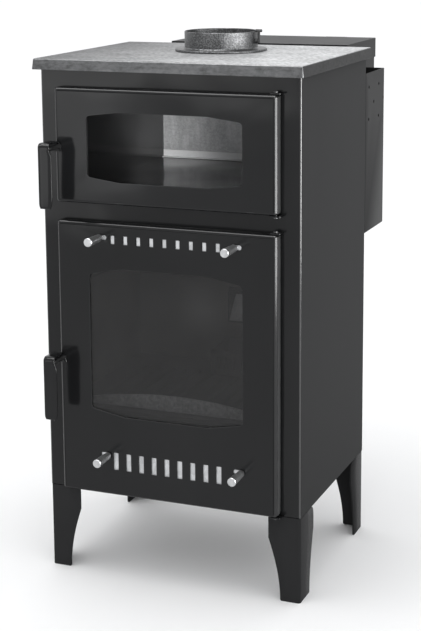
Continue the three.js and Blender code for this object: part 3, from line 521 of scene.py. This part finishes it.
# A CAD node's solid with its edges broken by a width in millimetres, as a dressed piece of its own
def softened(node, width, body, slot, finish, segments=2, edgeAngle=40):
    shape = bmesh.new()
    shape.from_mesh(nodes[node].data)
    bmesh.ops.remove_doubles(shape, verts=shape.verts, dist=1e-6)
    bmesh.ops.dissolve_limit(shape, angle_limit=math.radians(1), verts=shape.verts, edges=shape.edges)
    mesh = meshFrom(node, shape)
    if "custom_normal" in mesh.attributes:
        mesh.attributes.remove(mesh.attributes["custom_normal"])
    made = breakEdges(linked(node + "_made", mesh), width * mm, segments, edgeAngle)
    return dress(levelled(made), body, slot, finish, node)


def inset(loop, amount):
    count, moved = len(loop), []
    for index in range(count):
        before, here, after = (Vector(loop[(index + step) % count]) for step in (-1, 0, 1))
        first, second = (here - before).normalized(), (after - here).normalized()
        normal = Vector((-first.y - second.y, first.x + second.x))
        normal.normalize()
        reach = max(0.3, normal.dot(Vector((-first.y, first.x))))
        moved.append(here + normal * (amount / reach))
    return moved


# A loop with rounded corners; points are (x, y) or (x, y, radius), counter-clockwise
def rounded(points, steps=5):
    loop, count = [], len(points)
    for index, point in enumerate(points):
        here, radius = Vector(point[:2]), point[2] if len(point) > 2 else 0
        before, after = Vector(points[index - 1][:2]), Vector(points[(index + 1) % count][:2])
        if radius <= 0:
            loop.append(here)
            continue
        into, out = (here - before).normalized(), (after - here).normalized()
        turn = into.angle(out)
        cut = min(radius * math.tan(turn / 2), (here - before).length * 0.49, (after - here).length * 0.49)
        true = cut / math.tan(turn / 2)
        side = 1 if into.cross(out) > 0 else -1
        centre = here - into * cut + Vector((-into.y, into.x)) * side * true
        for step in range(steps + 1):
            angle = turn * step / steps * side
            arm = Vector((into.y, -into.x)) * side * true
            arm.rotate(Matrix.Rotation(angle, 2))
            loop.append(centre + arm)
    return loop


def box(left, right, low, high, radius=0):
    return rounded([(left, low, radius), (right, low, radius), (right, high, radius), (left, high, radius)])


# A flat point at a depth along the y or z axis
def lift(point, depth, axis):
    across, up = point
    return Vector((across, depth, up) if axis == "y" else (across, up, depth))


# Quads between each row of vertices and the next; a closed row joins its end to its start
def bridge(shape, rows, closed=False):
    made = []
    for first, second in zip(rows, rows[1:]):
        count = len(first)
        for index in range(count if closed else count - 1):
            after = (index + 1) % count
            made.append(shape.faces.new((first[index], first[after], second[after], second[index])))
    return made


# A sheet with holes: each loop follows its own profile of (inset, depth) from the near face to the far one
def sheet(loops, profiles, axis="y"):
    shape = bmesh.new()
    nearEdges, farEdges = [], []
    for loop, profile in zip(loops, profiles):
        rings = [[shape.verts.new(lift(point, depth, axis)) for point in inset(loop, amount)]
                 for amount, depth in profile]
        bridge(shape, rings, True)
        for ring, edges in ((rings[0], nearEdges), (rings[-1], farEdges)):
            edges.extend(shape.edges.get(pair) for pair in zip(ring, ring[1:] + ring[:1]))
    for edges in (nearEdges, farEdges):
        bmesh.ops.triangle_fill(shape, use_beauty=True, edges=edges)
    return shape


def arc(centre, radius, start, end, steps=4):
    turns = (math.radians(start + (end - start) * step / steps) for step in range(steps + 1))
    return [(centre[0] + radius * math.cos(turn), centre[1] + radius * math.sin(turn)) for turn in turns]


def plainEdge(near, far, ease):
    grow = ease if far > near else -ease
    return [(ease, near), (ease * 0.3, near + grow * 0.3), (0, near + grow),
            (0, far - grow), (ease * 0.3, far - grow * 0.3), (ease, far)]


def holeEdge(near, far, ease):
    return [(-amount, depth) for amount, depth in plainEdge(near, far, ease)]


# A turned body: a profile of (radius, height) round a line through middle along an axis
def turned(profile, middle, axis, sides, closed=True):
    shape, rings = bmesh.new(), []
    for radius, height in profile:
        spots = arc((0, 0), radius, 0, 360, sides)[:-1] if radius > 0 else [(0, 0)]
        rings.append([shape.verts.new(Vector(middle) + lift(spot, height, axis)) for spot in spots])
    for first, second in zip(rings, rings[1:] + rings[:1] if closed else rings[1:]):
        for side in range(sides):
            corners = ((first, side), (first, side + 1), (second, side + 1), (second, side))
            shape.faces.new(tuple(dict.fromkeys(ring[item % len(ring)] for ring, item in corners)))
    return shape


# A geometry tree with named inputs, which are read by name in brackets
class Growth(NodeTree):
    def __init__(self, name, inputs):
        super().__init__(bpy.data.node_groups.new(name, "GeometryNodeTree"))
        ports = self.tree.interface
        for label, (kind, value) in {
            "Geometry": ("Geometry", None), **inputs, "Material": ("Material", None),
        }.items():
            made = ports.new_socket(label, in_out="INPUT", socket_type="NodeSocket" + kind)
            if value is not None:
                made.default_value = value
        ports.new_socket("Geometry", in_out="OUTPUT", socket_type="NodeSocketGeometry")
        self.source = self.tree.nodes.new("NodeGroupInput")
        self.out = self.tree.nodes.new("NodeGroupOutput")

    def __getitem__(self, label):
        return Signal(self, self.source.outputs[label])

    def finish(self, geometry):
        real = self.node("GeometryNodeRealizeInstances", {"Geometry": geometry})
        coloured = self.node("GeometryNodeSetMaterial", {"Geometry": real, "Material": self["Material"]})
        self.tree.links.new(coloured.socket, self.out.inputs["Geometry"])
        return self.tree


# Points in rows: item number over the count in a row gives the row, and every second row is shifted
def rowPoints(tree):
    columns = tree["Columns"]
    line = tree.node("GeometryNodeMeshLine", {"Count": columns * tree["Rows"], "Offset": (0, 0, 0)})
    index = tree.node("GeometryNodeInputIndex")
    row = tree.maths("FLOOR", index / columns)
    along = index - row * columns + tree.maths("MODULO", row, 2.0) * tree["Stagger"]
    across = tree.vector("SCALE", {0: tree["Column Step"], "Scale": along})
    down = tree.vector("SCALE", {0: tree["Row Step"], "Scale": row})
    step = tree.vector("ADD", {0: across, 1: down})
    where = tree.vector("ADD", {0: tree["First"], 1: step})
    return tree.node("GeometryNodeSetPosition", {"Geometry": line, "Position": where})


rowInputs = {
    "Columns": ("Int", 2), "Rows": ("Int", 1), "Stagger": ("Float", 0.0), "First": ("Vector", (0, 0, 0)),
    "Column Step": ("Vector", (0.02, 0, 0)), "Row Step": ("Vector", (0, 0, -0.02)),
}


# Cuts a row of round or square holes through the sheet it is given
def punchTree():
    tree = Growth("punchedRow", {
        **rowInputs, "Hole Size": ("Vector", (0.01, 0.01, 0.01)), "Round": ("Bool", False),
        "Hole Radius": ("Float", 0.003)})
    square = tree.node("GeometryNodeMeshCube", {"Size": tree["Hole Size"]})
    drill = tree.node("GeometryNodeMeshCylinder", {
        "Vertices": 20, "Radius": tree["Hole Radius"], "Depth": 12 * mm})
    sideways = tree.node("GeometryNodeTransform", {"Geometry": drill, "Rotation": (0, math.pi / 2, 0)})
    cutter = tree.node("GeometryNodeSwitch", {
        "Switch": tree["Round"], "False": square, "True": sideways}, {"input_type": "GEOMETRY"})
    copies = tree.node("GeometryNodeInstanceOnPoints", {"Points": rowPoints(tree), "Instance": cutter})
    tools = tree.node("GeometryNodeRealizeInstances", {"Geometry": copies})
    return tree.finish(tree.node("GeometryNodeMeshBoolean", {
        "Mesh 1": tree["Geometry"], "Mesh 2": tools}, {"operation": "DIFFERENCE", "solver": "EXACT"}))


# Copies what it is given at each point of the row
def repeatTree():
    tree = Growth("repeatedRow", rowInputs)
    return tree.finish(tree.node("GeometryNodeInstanceOnPoints", {
        "Points": rowPoints(tree), "Instance": tree["Geometry"]}))


# A braided rope that follows a rounded rectangle in the x-z plane
def ropeTree(strands=3):
    tree = Growth("braidedRope", {
        "Width": ("Float", 0.3), "Height": ("Float", 0.2), "Corner": ("Float", 0.01),
        "Middle": ("Vector", (0, 0, 0)), "Rope Radius": ("Float", 0.004), "Twist Length": ("Float", 0.02)})
    path = tree.node("GeometryNodeCurvePrimitiveQuadrilateral", {
        "Width": tree["Width"], "Height": tree["Height"]})
    bent = tree.node("GeometryNodeFilletCurve", {"Curve": path, "Radius": tree["Corner"]})
    upright = tree.node("GeometryNodeTransform", {
        "Geometry": bent, "Translation": tree["Middle"], "Rotation": (math.pi / 2, 0, 0)})
    fine = tree.node("GeometryNodeResampleCurve", {"Curve": upright, "Length": 2.2 * mm}, {"mode": "LENGTH"})
    factor = tree.node("GeometryNodeSplineParameter", output="Factor")
    length = tree.node("GeometryNodeCurveLength", {"Curve": upright})
    turns = tree.maths("ROUND", length / tree["Twist Length"])
    side = tree.vector("CROSS_PRODUCT", {0: tree.node("GeometryNodeInputTangent"), 1: (0, 1, 0)})
    radius, circle = tree["Rope Radius"], 2 * math.pi
    made = []
    for strand in range(strands):
        phase = factor * turns * circle + circle * strand / strands
        out = tree.vector("SCALE", {0: side, "Scale": tree.maths("COSINE", phase) * (radius * 0.5)})
        ahead = tree.node("ShaderNodeCombineXYZ", {"Y": tree.maths("SINE", phase) * (radius * 0.5)})
        offset = tree.vector("ADD", {0: out, 1: ahead})
        moved = tree.node("GeometryNodeSetPosition", {"Geometry": fine, "Offset": offset})
        profile = tree.node("GeometryNodeCurvePrimitiveCircle", {"Resolution": 8, "Radius": radius * 0.52})
        made.append(tree.node("GeometryNodeCurveToMesh", {"Curve": moved, "Profile Curve": profile}))
    return tree.finish(tree.node("GeometryNodeJoinGeometry", {"Geometry": made}))


trees = {"punch": punchTree(), "repeat": repeatTree(), "rope": ropeTree()}


# Runs a tree on an object; inputs go in by the socket's identifier before it is first evaluated
def grown(made, tree, inputs):
    growth = made.modifiers.new(tree, "NODES")
    growth.node_group = trees[tree]
    names = {item.name: item.identifier for item in trees[tree].interface.items_tree
             if item.item_type == "SOCKET" and item.in_out == "INPUT"}
    for label, value in inputs.items():
        growth[names[label]] = value
    return smoothed(applied(made), 35)


print("node trees ready")


# Slot and finish of what is plain iron or a pin
iron, pin = ("dark_iron", "darkIron"), ("chrome", "darkPin")

# Casing and top plate
casing = metres({"edge": 2.4, "mouthEdge": 0.6, "trim": 0.3, "halfOven": 152, "ovenMouth": (668.5, 806),
                 "halfFire": 155, "fireMouth": (175, 590)})


# A sheet's outer bends take a lighter, glossier copy of the enamel, a painted highlight; faces turned
# sideways there take the third finish, on a door a duller rim enamel painted lighter, painted light
def paintBendHighlights(made, reach):
    edge = max(abs(corner[0]) for corner in made.bound_box)
    for face in made.data.polygons:
        if edge - abs(face.center.x) < reach and -0.99 < face.normal.y < 0.5:
            face.material_index = 2 if abs(face.normal.x) > 0.97 else 1


def frontFrame(look):
    low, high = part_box("front_frame")
    mouths = [box(-look["halfOven"], look["halfOven"], *look["ovenMouth"]),
              box(-look["halfFire"], look["halfFire"], *look["fireMouth"])]
    edge, trim = look["edge"], look["trim"]
    profile = arc((edge, low.y + edge), edge, -90, -180, 5) + [(0, high.y - trim), (trim, high.y)]
    made = meshOf("front_frame_sheet", sheet([box(low.x, high.x, low.z, high.z), *mouths], [
        profile, *[holeEdge(low.y, high.y, look["mouthEdge"])] * 2]))
    dress(made, "stove_body", "front_enamel", ("frontEnamel", "edgeEnamel", "sideEnamel"), "front_frame")
    paintBendHighlights(made, edge)


frontFrame(casing)
for node in ("left_side_panel", "right_side_panel", "rear_panel", "base_panel"):
    softened(node, 0.4 if node == "rear_panel" else 0.5, "stove_body", "side_enamel", "sideEnamel")

plate = metres({"thickness": 5, "flare": 2, "edge": 3, "lip": 0.8, "wall": 3, "corner": 4, "foot": (0.4, 3),
                "chamfer": 1, "flue": (6, -24.75), "hole": 62.8, "holeEase": 0.5})


def topPlate(look):
    low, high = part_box("top_plate")
    top, bottom, under = high.z, low.z, high.z - look["thickness"]
    flare, edge, lip, wall, chamfer = (look[key] for key in ("flare", "edge", "lip", "wall", "chamfer"))
    footIn, footRise = look["foot"]
    profile = arc((flare + edge, top - edge), edge, 90, 180, 5)
    profile += [(footIn, bottom + footRise), (0, bottom + lip), (lip * 0.4, bottom + lip * 0.2),
                (lip, bottom), (wall - lip * 0.5, bottom), (wall, bottom + lip),
                (wall + flare, under - chamfer), (wall + flare + chamfer, under)]
    outer = box(low.x, high.x, low.y, high.y, look["corner"])
    flue = arc(look["flue"], look["hole"], 0, 360, 72)[:-1]
    made = meshOf("top_plate_steel", sheet(
        [outer, flue], [profile, holeEdge(top, under, look["holeEase"])], "z"))
    steels = ("plateSteel", "skirtSteel", "burnishedSkirt")
    dress(made, "stove_body", "cooking_plate_steel", steels, "top_plate")
    # Painted shade: the skirt's faces take a darker copy of the plate's steel, those turned sideways a darker
    # one still
    for face in made.data.polygons:
        if abs(face.normal.z) < 0.75 and face.center.z < top - lip:
            face.material_index = 2 if abs(face.normal.x) > 0.75 else 1


topPlate(plate)
print("casing and top plate made")


# Flue collar and damper
collar = {**metres({
    "bore": 60.5, "wall": 2, "flange": 16, "flangeLow": 876.3, "flangeHigh": 880.3, "trim": 0.8,
    "rounding": 1.5, "fillet": 3, "foot": 871, "top": 910, "middle": (6, -24.75, 0)}), "sides": 96}


def flueCollar(look):
    bore, outer, top = look["bore"], look["bore"] + look["wall"], look["top"]
    reach, low, high = outer + look["flange"], look["flangeLow"], look["flangeHigh"]
    trim, rounding, fillet, bead = look["trim"], look["rounding"], look["fillet"], look["wall"] / 2
    profile = [(bore, look["foot"]), (outer, look["foot"]), (outer, low),
               (reach - trim, low), (reach, low + trim)]
    profile += arc((reach - rounding, high - rounding), rounding, 0, 90, 3)
    profile += arc((outer + fillet, high + fillet), fillet, 270, 180)
    profile += arc((outer - bead, top - bead), bead, 0, 180, 6)
    made = meshOf("flue_collar_cast", turned(profile, look["middle"], "z", look["sides"]))
    dress(made, "stove_body", "collar_iron", "castCollar", "flue_collar")


flueCollar(collar)
softened("damper_disc", 0.6, "flue_damper", *iron)
softened("damper_spindle", 0.5, "flue_damper", *iron, edgeAngle=60)
softened("damper_lever", 0.5, "flue_damper", *iron, edgeAngle=60)
print("flue made")


# Legs; the curve's shares are the top corner's reach, then where the taper leaves the top and meets the foot
leg = {**metres({
    "sheet": 3, "fold": 4.5, "frontTop": 55, "frontFoot": 34.5, "sideTop": 68, "sideFoot": 48, "straight": 38,
    "sideCorner": 18, "footCorner": 3, "tab": 36, "tabCorner": 4, "tabGap": 0.05, "edge": 0.5}),
    "curve": (0.65, 0.25, 0.85, 0.45), "rows": 22, "sharpAngle": 50}


# A flange's width at each height, from the foot up, as the taper's own curve
def legEdge(look, topWidth, footWidth, corner, top):
    cornerIn, leaveWidth, leaveHeight, meetHeight = look["curve"]
    bend, narrowing = top - look["straight"], topWidth - footWidth
    foot = look["footCorner"]
    edge = arc((footWidth - foot, foot), foot, -90, 0)
    ends = [Vector((footWidth, foot)), Vector((footWidth, bend * meetHeight)),
            Vector((topWidth - narrowing * leaveWidth, bend * leaveHeight)), Vector((topWidth, bend))]
    for step in range(1, look["rows"] + 1):
        t = step / look["rows"]
        weights = [math.comb(3, k) * t ** k * (1 - t) ** (3 - k) for k in range(4)]
        edge.append(tuple(sum((end * weight for end, weight in zip(ends, weights)), Vector((0, 0)))))
    if corner:
        for step in range(6):
            t = step / 5
            x = (1 - t) ** 2 * topWidth + 2 * t * (1 - t) * topWidth + t * t * (topWidth - corner * cornerIn)
            z = (1 - t) ** 2 * (top - corner) + 2 * t * (1 - t) * top + t * t * top
            edge.append((x, z))
    else:
        edge.append((topWidth, top))
    return edge


def widthAt(edge, height):
    for (firstX, firstZ), (nextX, nextZ) in zip(edge, edge[1:]):
        if firstZ <= height <= nextZ and nextZ > firstZ:
            return firstX + (nextX - firstX) * (height - firstZ) / (nextZ - firstZ)
    return edge[-1][0]


def foldedLeg(name, look):
    low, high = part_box(name)
    side, toRear = (-1 if low.x < 0 else 1), (1 if low.y < -0.1 else -1)
    cornerX = low.x if side < 0 else high.x
    cornerY = low.y if toRear > 0 else high.y
    top, fold, wall = high.z, look["fold"], look["sheet"]
    front = legEdge(look, look["frontTop"], look["frontFoot"], 0, top)
    flank = legEdge(look, look["sideTop"], look["sideFoot"], look["sideCorner"], top)

    def row(shape, line, height):
        return [shape.verts.new((cornerX - side * x, cornerY + toRear * y, height)) for x, y in line]

    shape, rows = bmesh.new(), []
    for height in sorted({round(z, 6) for _, z in front + flank if z < top} | {0.0, top}):
        wideFront, wideSide = (widthAt(edge, height) for edge in (front, flank))
        line = [(fold + (wideFront - fold) * share, 0) for share in (1, 0.5, 0)]
        line += arc((fold, fold), fold, 270, 180, 5)[1:]
        line += [(0, fold + (wideSide - fold) * share) for share in (0.5, 1)]
        rows.append(row(shape, line, height))
    bridge(shape, rows)
    bmesh.ops.recalc_face_normals(shape, faces=shape.faces)
    if shape.faces[0].normal.y * toRear > 0:
        bmesh.ops.reverse_faces(shape, faces=shape.faces)
    made = thickened(name + "_folded", shape, wall, -1, look["edge"], 2, look["sharpAngle"])
    tab = bmesh.new()
    tab.from_mesh(made.data)
    near, far, corner = wall * 0.8, look["tab"], look["tabCorner"]
    plan = rounded([(near, near), (far, near, corner), (far, far, corner), (near, far, corner)])
    rings = [row(tab, plan, height) for height in (top - wall, top - look["tabGap"])]
    faces = bridge(tab, rings, True) + [tab.faces.new(ring) for ring in rings]
    bmesh.ops.recalc_face_normals(tab, faces=faces)
    tab.to_mesh(made.data)
    tab.free()
    made.data.set_sharp_from_angle(angle=math.radians(look["sharpAngle"]))
    dress(made, "stove_body", "side_enamel", "legEnamel", name)


for name in ("leg_front_left", "leg_front_right", "leg_rear_left", "leg_rear_right"):
    foldedLeg(name, leg)
print("legs made")


# Doors
doorSkin = metres({"edge": 6, "corner": 5, "sheet": 2, "lip": 0.8, "holeEase": 0.5, "windowEase": 0.9,
                   "slotCorner": 0.6})
windows = metres({
    "oven": {"half": 134.5, "flat": 75.5, "low": 679.5, "high": 793, "chamfer": 7.5, "corner": 7, "bow": 20},
    "firebox": {"half": 134, "flat": 75, "low": 286.5, "high": 536.5, "chamfer": 11, "corner": 7, "bow": 20},
})
airRows = metres({
    "upper": {"z": 585, "width": 8, "height": 14, "offset": -7, "knobs": (-113, 122), "knobZ": 588,
              "back": 4, "out": 7},
    "lower": {"z": 208, "width": 9, "height": 30, "offset": 11, "knobs": (-105, 132), "knobZ": 218,
              "back": 11, "out": 0},
})
slotPitch, slotCount, stemCut = 23 * mm, 9, 3.9 * mm
slotStart = -(slotCount - 1) / 2 * slotPitch


def windowLoop(look):
    half, flat, low, high = (look[key] for key in ("half", "flat", "low", "high"))
    chamfer, corner, bow = look["chamfer"], look["corner"], look["bow"]
    return rounded([(-flat, low, bow), (flat, low, bow), (half, low + chamfer, corner),
                    (half, high - chamfer, corner), (flat, high, bow), (-flat, high, bow),
                    (-half, high - chamfer, corner), (-half, low + chamfer, corner)], 4)


def doorShell(node, look, window, rows):
    low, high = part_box(node)
    front, back, edge, wall, lip = low.y, high.y, look["edge"], look["sheet"], look["lip"]
    bend = (edge, front + edge)
    profile = arc(bend, edge, -90, -180, 6)
    profile += [(0, back - lip), (lip * 0.3, back - lip * 0.3), (lip, back), (wall - lip * 0.3, back),
                (wall, back - lip * 0.5)]
    profile += arc(bend, edge - wall, -180, -90, 3)
    holes = [windowLoop(window)]
    for row in rows:
        for index in range(slotCount):
            x = slotStart + index * slotPitch
            holes.append(box(x - row["width"] / 2, x + row["width"] / 2,
                             row["z"] - row["height"] / 2, row["z"] + row["height"] / 2, look["slotCorner"]))
        for x in row["knobs"]:
            holes.append(box(x - row["back"] - stemCut, x + row["out"] + stemCut,
                             row["knobZ"] - stemCut, row["knobZ"] + stemCut, stemCut * 0.95))
    eases = [look["windowEase"]] + [look["holeEase"]] * (len(holes) - 1)
    return meshOf(node + "_skin", sheet(
        [box(low.x, high.x, low.z, high.z, look["corner"]), *holes],
        [profile, *[holeEdge(front, front + wall, ease) for ease in eases]]))


for name, rows, glass in (("oven", (), "ovenGlass"), ("firebox", airRows.values(), "fireGlass")):
    node, body, window = name + "_door", name + "_door_leaf", windows[name]
    shell = dress(doorShell(node, doorSkin, window, rows), body, "front_enamel",
                  ("frontEnamel", "bendEnamel", "rimEnamel"), node)
    paintBendHighlights(shell, doorSkin["edge"])
    for face in shell.data.polygons:    # the window's cut edge takes the lighter bend enamel too, a painted highlight
        x, z = abs(face.center.x), face.center.z
        inside = x < window["half"] + mm and window["low"] - mm < z < window["high"] + mm
        if inside and abs(face.normal.y) < 0.97:
            face.material_index = 1
    softened(name + "_glass", 0.5, body, "stove_glass", glass)
    softened(name + "_glass_frame", 0.5, body, *iron)
    softened(node + "_back_plate", 0.4, body, *iron)

seal = metres({"radius": 3.6, "twist": 16, "corner": 9})
for name in ("oven", "firebox"):
    node = name + "_door_seal"
    low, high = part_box(node)
    size, radius = high - low, seal["radius"]
    rope = linked(node + "_rope", bpy.data.meshes.new("rope"))
    grown(rope, "rope", {
        "Width": size.x - 2 * radius, "Height": size.z - 2 * radius, "Corner": seal["corner"],
        "Middle": (low + high) / 2, "Rope Radius": min(radius, size.y / 2.2) * 0.98,
        "Twist Length": seal["twist"], "Material": finishes["sealRope"]})
    dress(rope, name + "_door_leaf", "rope_seal", "sealRope", node)
print("door shells, glass and seals made")


# Hinges and handles
for name in ("oven", "firebox"):
    for level in ("top", "bottom"):
        softened(f"{name}_hinge_tab_{level}", 0.5, "stove_body", "front_enamel", "frontEnamel")
        softened(f"{name}_hinge_pin_{level}", 0.4, "stove_body", *pin, edgeAngle=60)

handle = {**metres({"strip": 3, "bend": 6, "waist": 4, "tab": 9, "rise": 9, "curve": 24, "edge": 1.1,
                    "step": 4, "endEases": (0.5, 2.2)}), "edgeAngle": 60, "sharpAngle": 55}


def doorHandle(name, body, look):
    low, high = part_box(name)
    back, front, top, bottom = high.y, low.y, high.z, low.z
    half = look["strip"] / 2
    path = rounded([(back - half, top - look["rise"] - look["tab"]), (back - half, top - half, look["bend"]),
                    (front + half, top - half, look["bend"]), (front + half, bottom)])
    fine = []
    for first, second in zip(path, path[1:]):
        steps = max(1, int((second - first).length / look["step"]))
        fine += [first.lerp(second, step / steps) for step in range(steps)]
    fine.append(path[-1])

    def rightAt(z):
        waist, curve = look["waist"], look["curve"]
        if z < bottom + curve:
            return high.x - waist * 0.5 * (1 - math.sin((z - bottom) / curve * math.pi / 2))
        if z > top - curve:
            share = min(1, (z - top + curve) / (curve - look["rise"]))
            return high.x - waist * (1 - math.cos(share * math.pi / 2))
        return high.x

    shape, rows = bmesh.new(), []
    for (y, z), ease in zip(fine, [0] * (len(fine) - 2) + list(look["endEases"])):
        wide = rightAt(z) - low.x
        xs = [low.x + ease, low.x + 0.35 * wide, low.x + 0.7 * wide, low.x + wide - ease]
        rows.append([shape.verts.new((x, y, z)) for x in xs])
    bridge(shape, rows)
    bmesh.ops.recalc_face_normals(shape, faces=shape.faces)
    made = thickened(name + "_strip", shape, look["strip"], 0, look["edge"], 3, look["edgeAngle"])
    made.data.set_sharp_from_angle(angle=math.radians(look["sharpAngle"]))
    dress(made, body, "front_enamel", "frontEnamel", name)


for name in ("oven", "firebox"):
    grip = name + "_handle_grip"
    doorHandle(name + "_handle", grip, handle)
    softened(name + "_handle_spindle", 0.4, grip, *pin, edgeAngle=60)
    softened(name + "_latch_keeper", 0.5, "stove_body", *iron)
print("hinges and handles made")


# Air slides and their knobs; a knob's outline is (radius, depth) from its tail to near its face
slide = metres({"corner": 1.5, "edge": 0.25, "cut": 6})
knob = metres({"tip": -310.8, "face": 7.3, "edge": 1.4, "outline": (
    (0, -262.8), (3.6, -262.8), (3.6, -267.8), (5.3, -268.1), (5.9, -268.8), (6.15, -280), (6.7, -292),
    (6.8, -302), (7.3, -308.4))})


def knobShape(look):
    edge, tip, face = look["edge"], look["tip"], look["face"]
    profile = [*look["outline"], *arc((face - edge, tip + edge), edge, 0, -90), (face * 0.45, tip), (0, tip)]
    return turned(profile, (0, 0, 0), "y", sides=40, closed=False)


for name, row in airRows.items():
    node, body = name + "_air_slide", name + "_air_control"
    low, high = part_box(node)
    plain = meshOf(node + "_zinc", sheet(
        [box(low.x, high.x, low.z, high.z, slide["corner"])], [plainEdge(low.y, high.y, slide["edge"])]))
    grown(plain, "punch", {
        "Columns": slotCount, "First": (slotStart + row["offset"], (low.y + high.y) / 2, row["z"]),
        "Column Step": (slotPitch, 0, 0), "Hole Size": (row["width"], slide["cut"], row["height"]),
        "Material": finishes["zincSheet"]})
    dress(plain, body, "zinc_steel", "zincSheet", node)
    left, right = row["knobs"]
    pair = meshOf(name + "_knobs", knobShape(knob), sharpAngle=50)
    grown(pair, "repeat", {
        "Columns": 2, "First": (left, 0, row["knobZ"]), "Column Step": (right - left, 0, 0),
        "Material": finishes["polishedPin"]})
    dress(pair, body, "chrome", "polishedPin", name + "_knob_left", name + "_knob_right")
print("air slides and knobs made")


# Oven and firebox insides: the width of a piece's broken edges in millimetres, its slot and its finish
brick = (1.2, "fire_board", "fireBoard")
insides = {
    "oven_liner": (0.4, "zinc_steel", ("linerZinc", "frontEnamel")),
    "oven_back_rail": (0.5, "zinc_steel", "brightZinc"),
    "fire_brick_left": brick, "fire_brick_right": brick, "fire_brick_back": brick,
    "grate": (1.0, *iron), "log_guard": (0.8, "dark_iron", "guardIron"),
    "ash_pan": (0.4, "zinc_steel", "zincSheet"), "pellet_basket": (0.5, *iron),
}
for node, (width, slot, finish) in insides.items():
    made = softened(node, width, "stove_body", slot, finish)
    if node == "oven_liner":            # painted shade: its floor and side walls take the dark front enamel, its back is bare zinc
        for face in made.data.polygons:
            face.material_index = 0 if abs(face.normal.y) > 0.5 or face.normal.z < -0.5 else 1
print("insides made")


# Hopper, lid, chute and guards
for node in ("hopper_funnel", "pellet_hopper", "pellet_chute"):
    made = softened(node, 0.4, "stove_body", "hopper_enamel", ("hopperEnamel", "dullZinc"))
    if node == "pellet_chute":          # bare zinc inside, where a face looks at another of its own walls
        bpy.context.view_layer.update()
        for face in made.data.polygons:
            if made.ray_cast(face.center + face.normal * 0.1 * mm, face.normal, distance=0.1)[0]:
                face.material_index = 1
softened("lid_hinge_pin", 0.3, "stove_body", *pin, edgeAngle=60)
softened("hopper_lid", 1.6, "hopper_lid_leaf", "hopper_enamel", "hopperEnamel", segments=3)

guard = metres({"sheet": 2, "lip": 20, "bend": 3, "edge": 0.3, "radius": 3, "first": 20.7, "pitch": 62,
                "drop": 25, "rowPitch": 28.5})


def hopperGuard(side, look):
    name = side + "_hopper_guard"
    low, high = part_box(name)
    sign = -1 if side == "left" else 1
    outer, inward = (low.x, high.x) if sign < 0 else (high.x, low.x)
    wall, bend = look["sheet"], look["bend"]
    lip, inner = outer - sign * look["lip"], outer - sign * wall
    plan = [(lip, low.y), (outer, low.y, bend), (outer, high.y, bend), (inward, high.y),
            (inward, high.y - wall), (inner, high.y - wall, bend - wall), (inner, low.y + wall, bend - wall),
            (lip, low.y + wall)]
    if sign < 0:
        plan.reverse()
    made = meshOf(name + "_sheet", sheet([rounded(plan)], [plainEdge(low.z, high.z, look["edge"])], "z"))
    grown(made, "punch", {
        "Columns": 2, "Rows": 3, "Stagger": 0.5, "Round": True, "Hole Radius": look["radius"],
        "First": (outer - sign * wall / 2, low.y + look["first"], high.z - look["drop"]),
        "Column Step": (0, look["pitch"], 0), "Row Step": (0, 0, -look["rowPitch"]),
        "Material": finishes["hopperEnamel"]})
    dress(made, "stove_body", "side_enamel", "hopperEnamel", name)


hopperGuard("left", guard)
hopperGuard("right", guard)
print("hopper, lid and guards made")


reach = studio["floorSize"] / 2
floorMesh = bpy.data.meshes.new("floor")
floorMesh.from_pydata(
    [(-reach, -reach, 0), (reach, -reach, 0), (reach, reach, 0), (-reach, reach, 0)], [], [(0, 1, 2, 3)])
floor = linked("floor", floorMesh)
floor.data.materials.append(floorFinish.material)
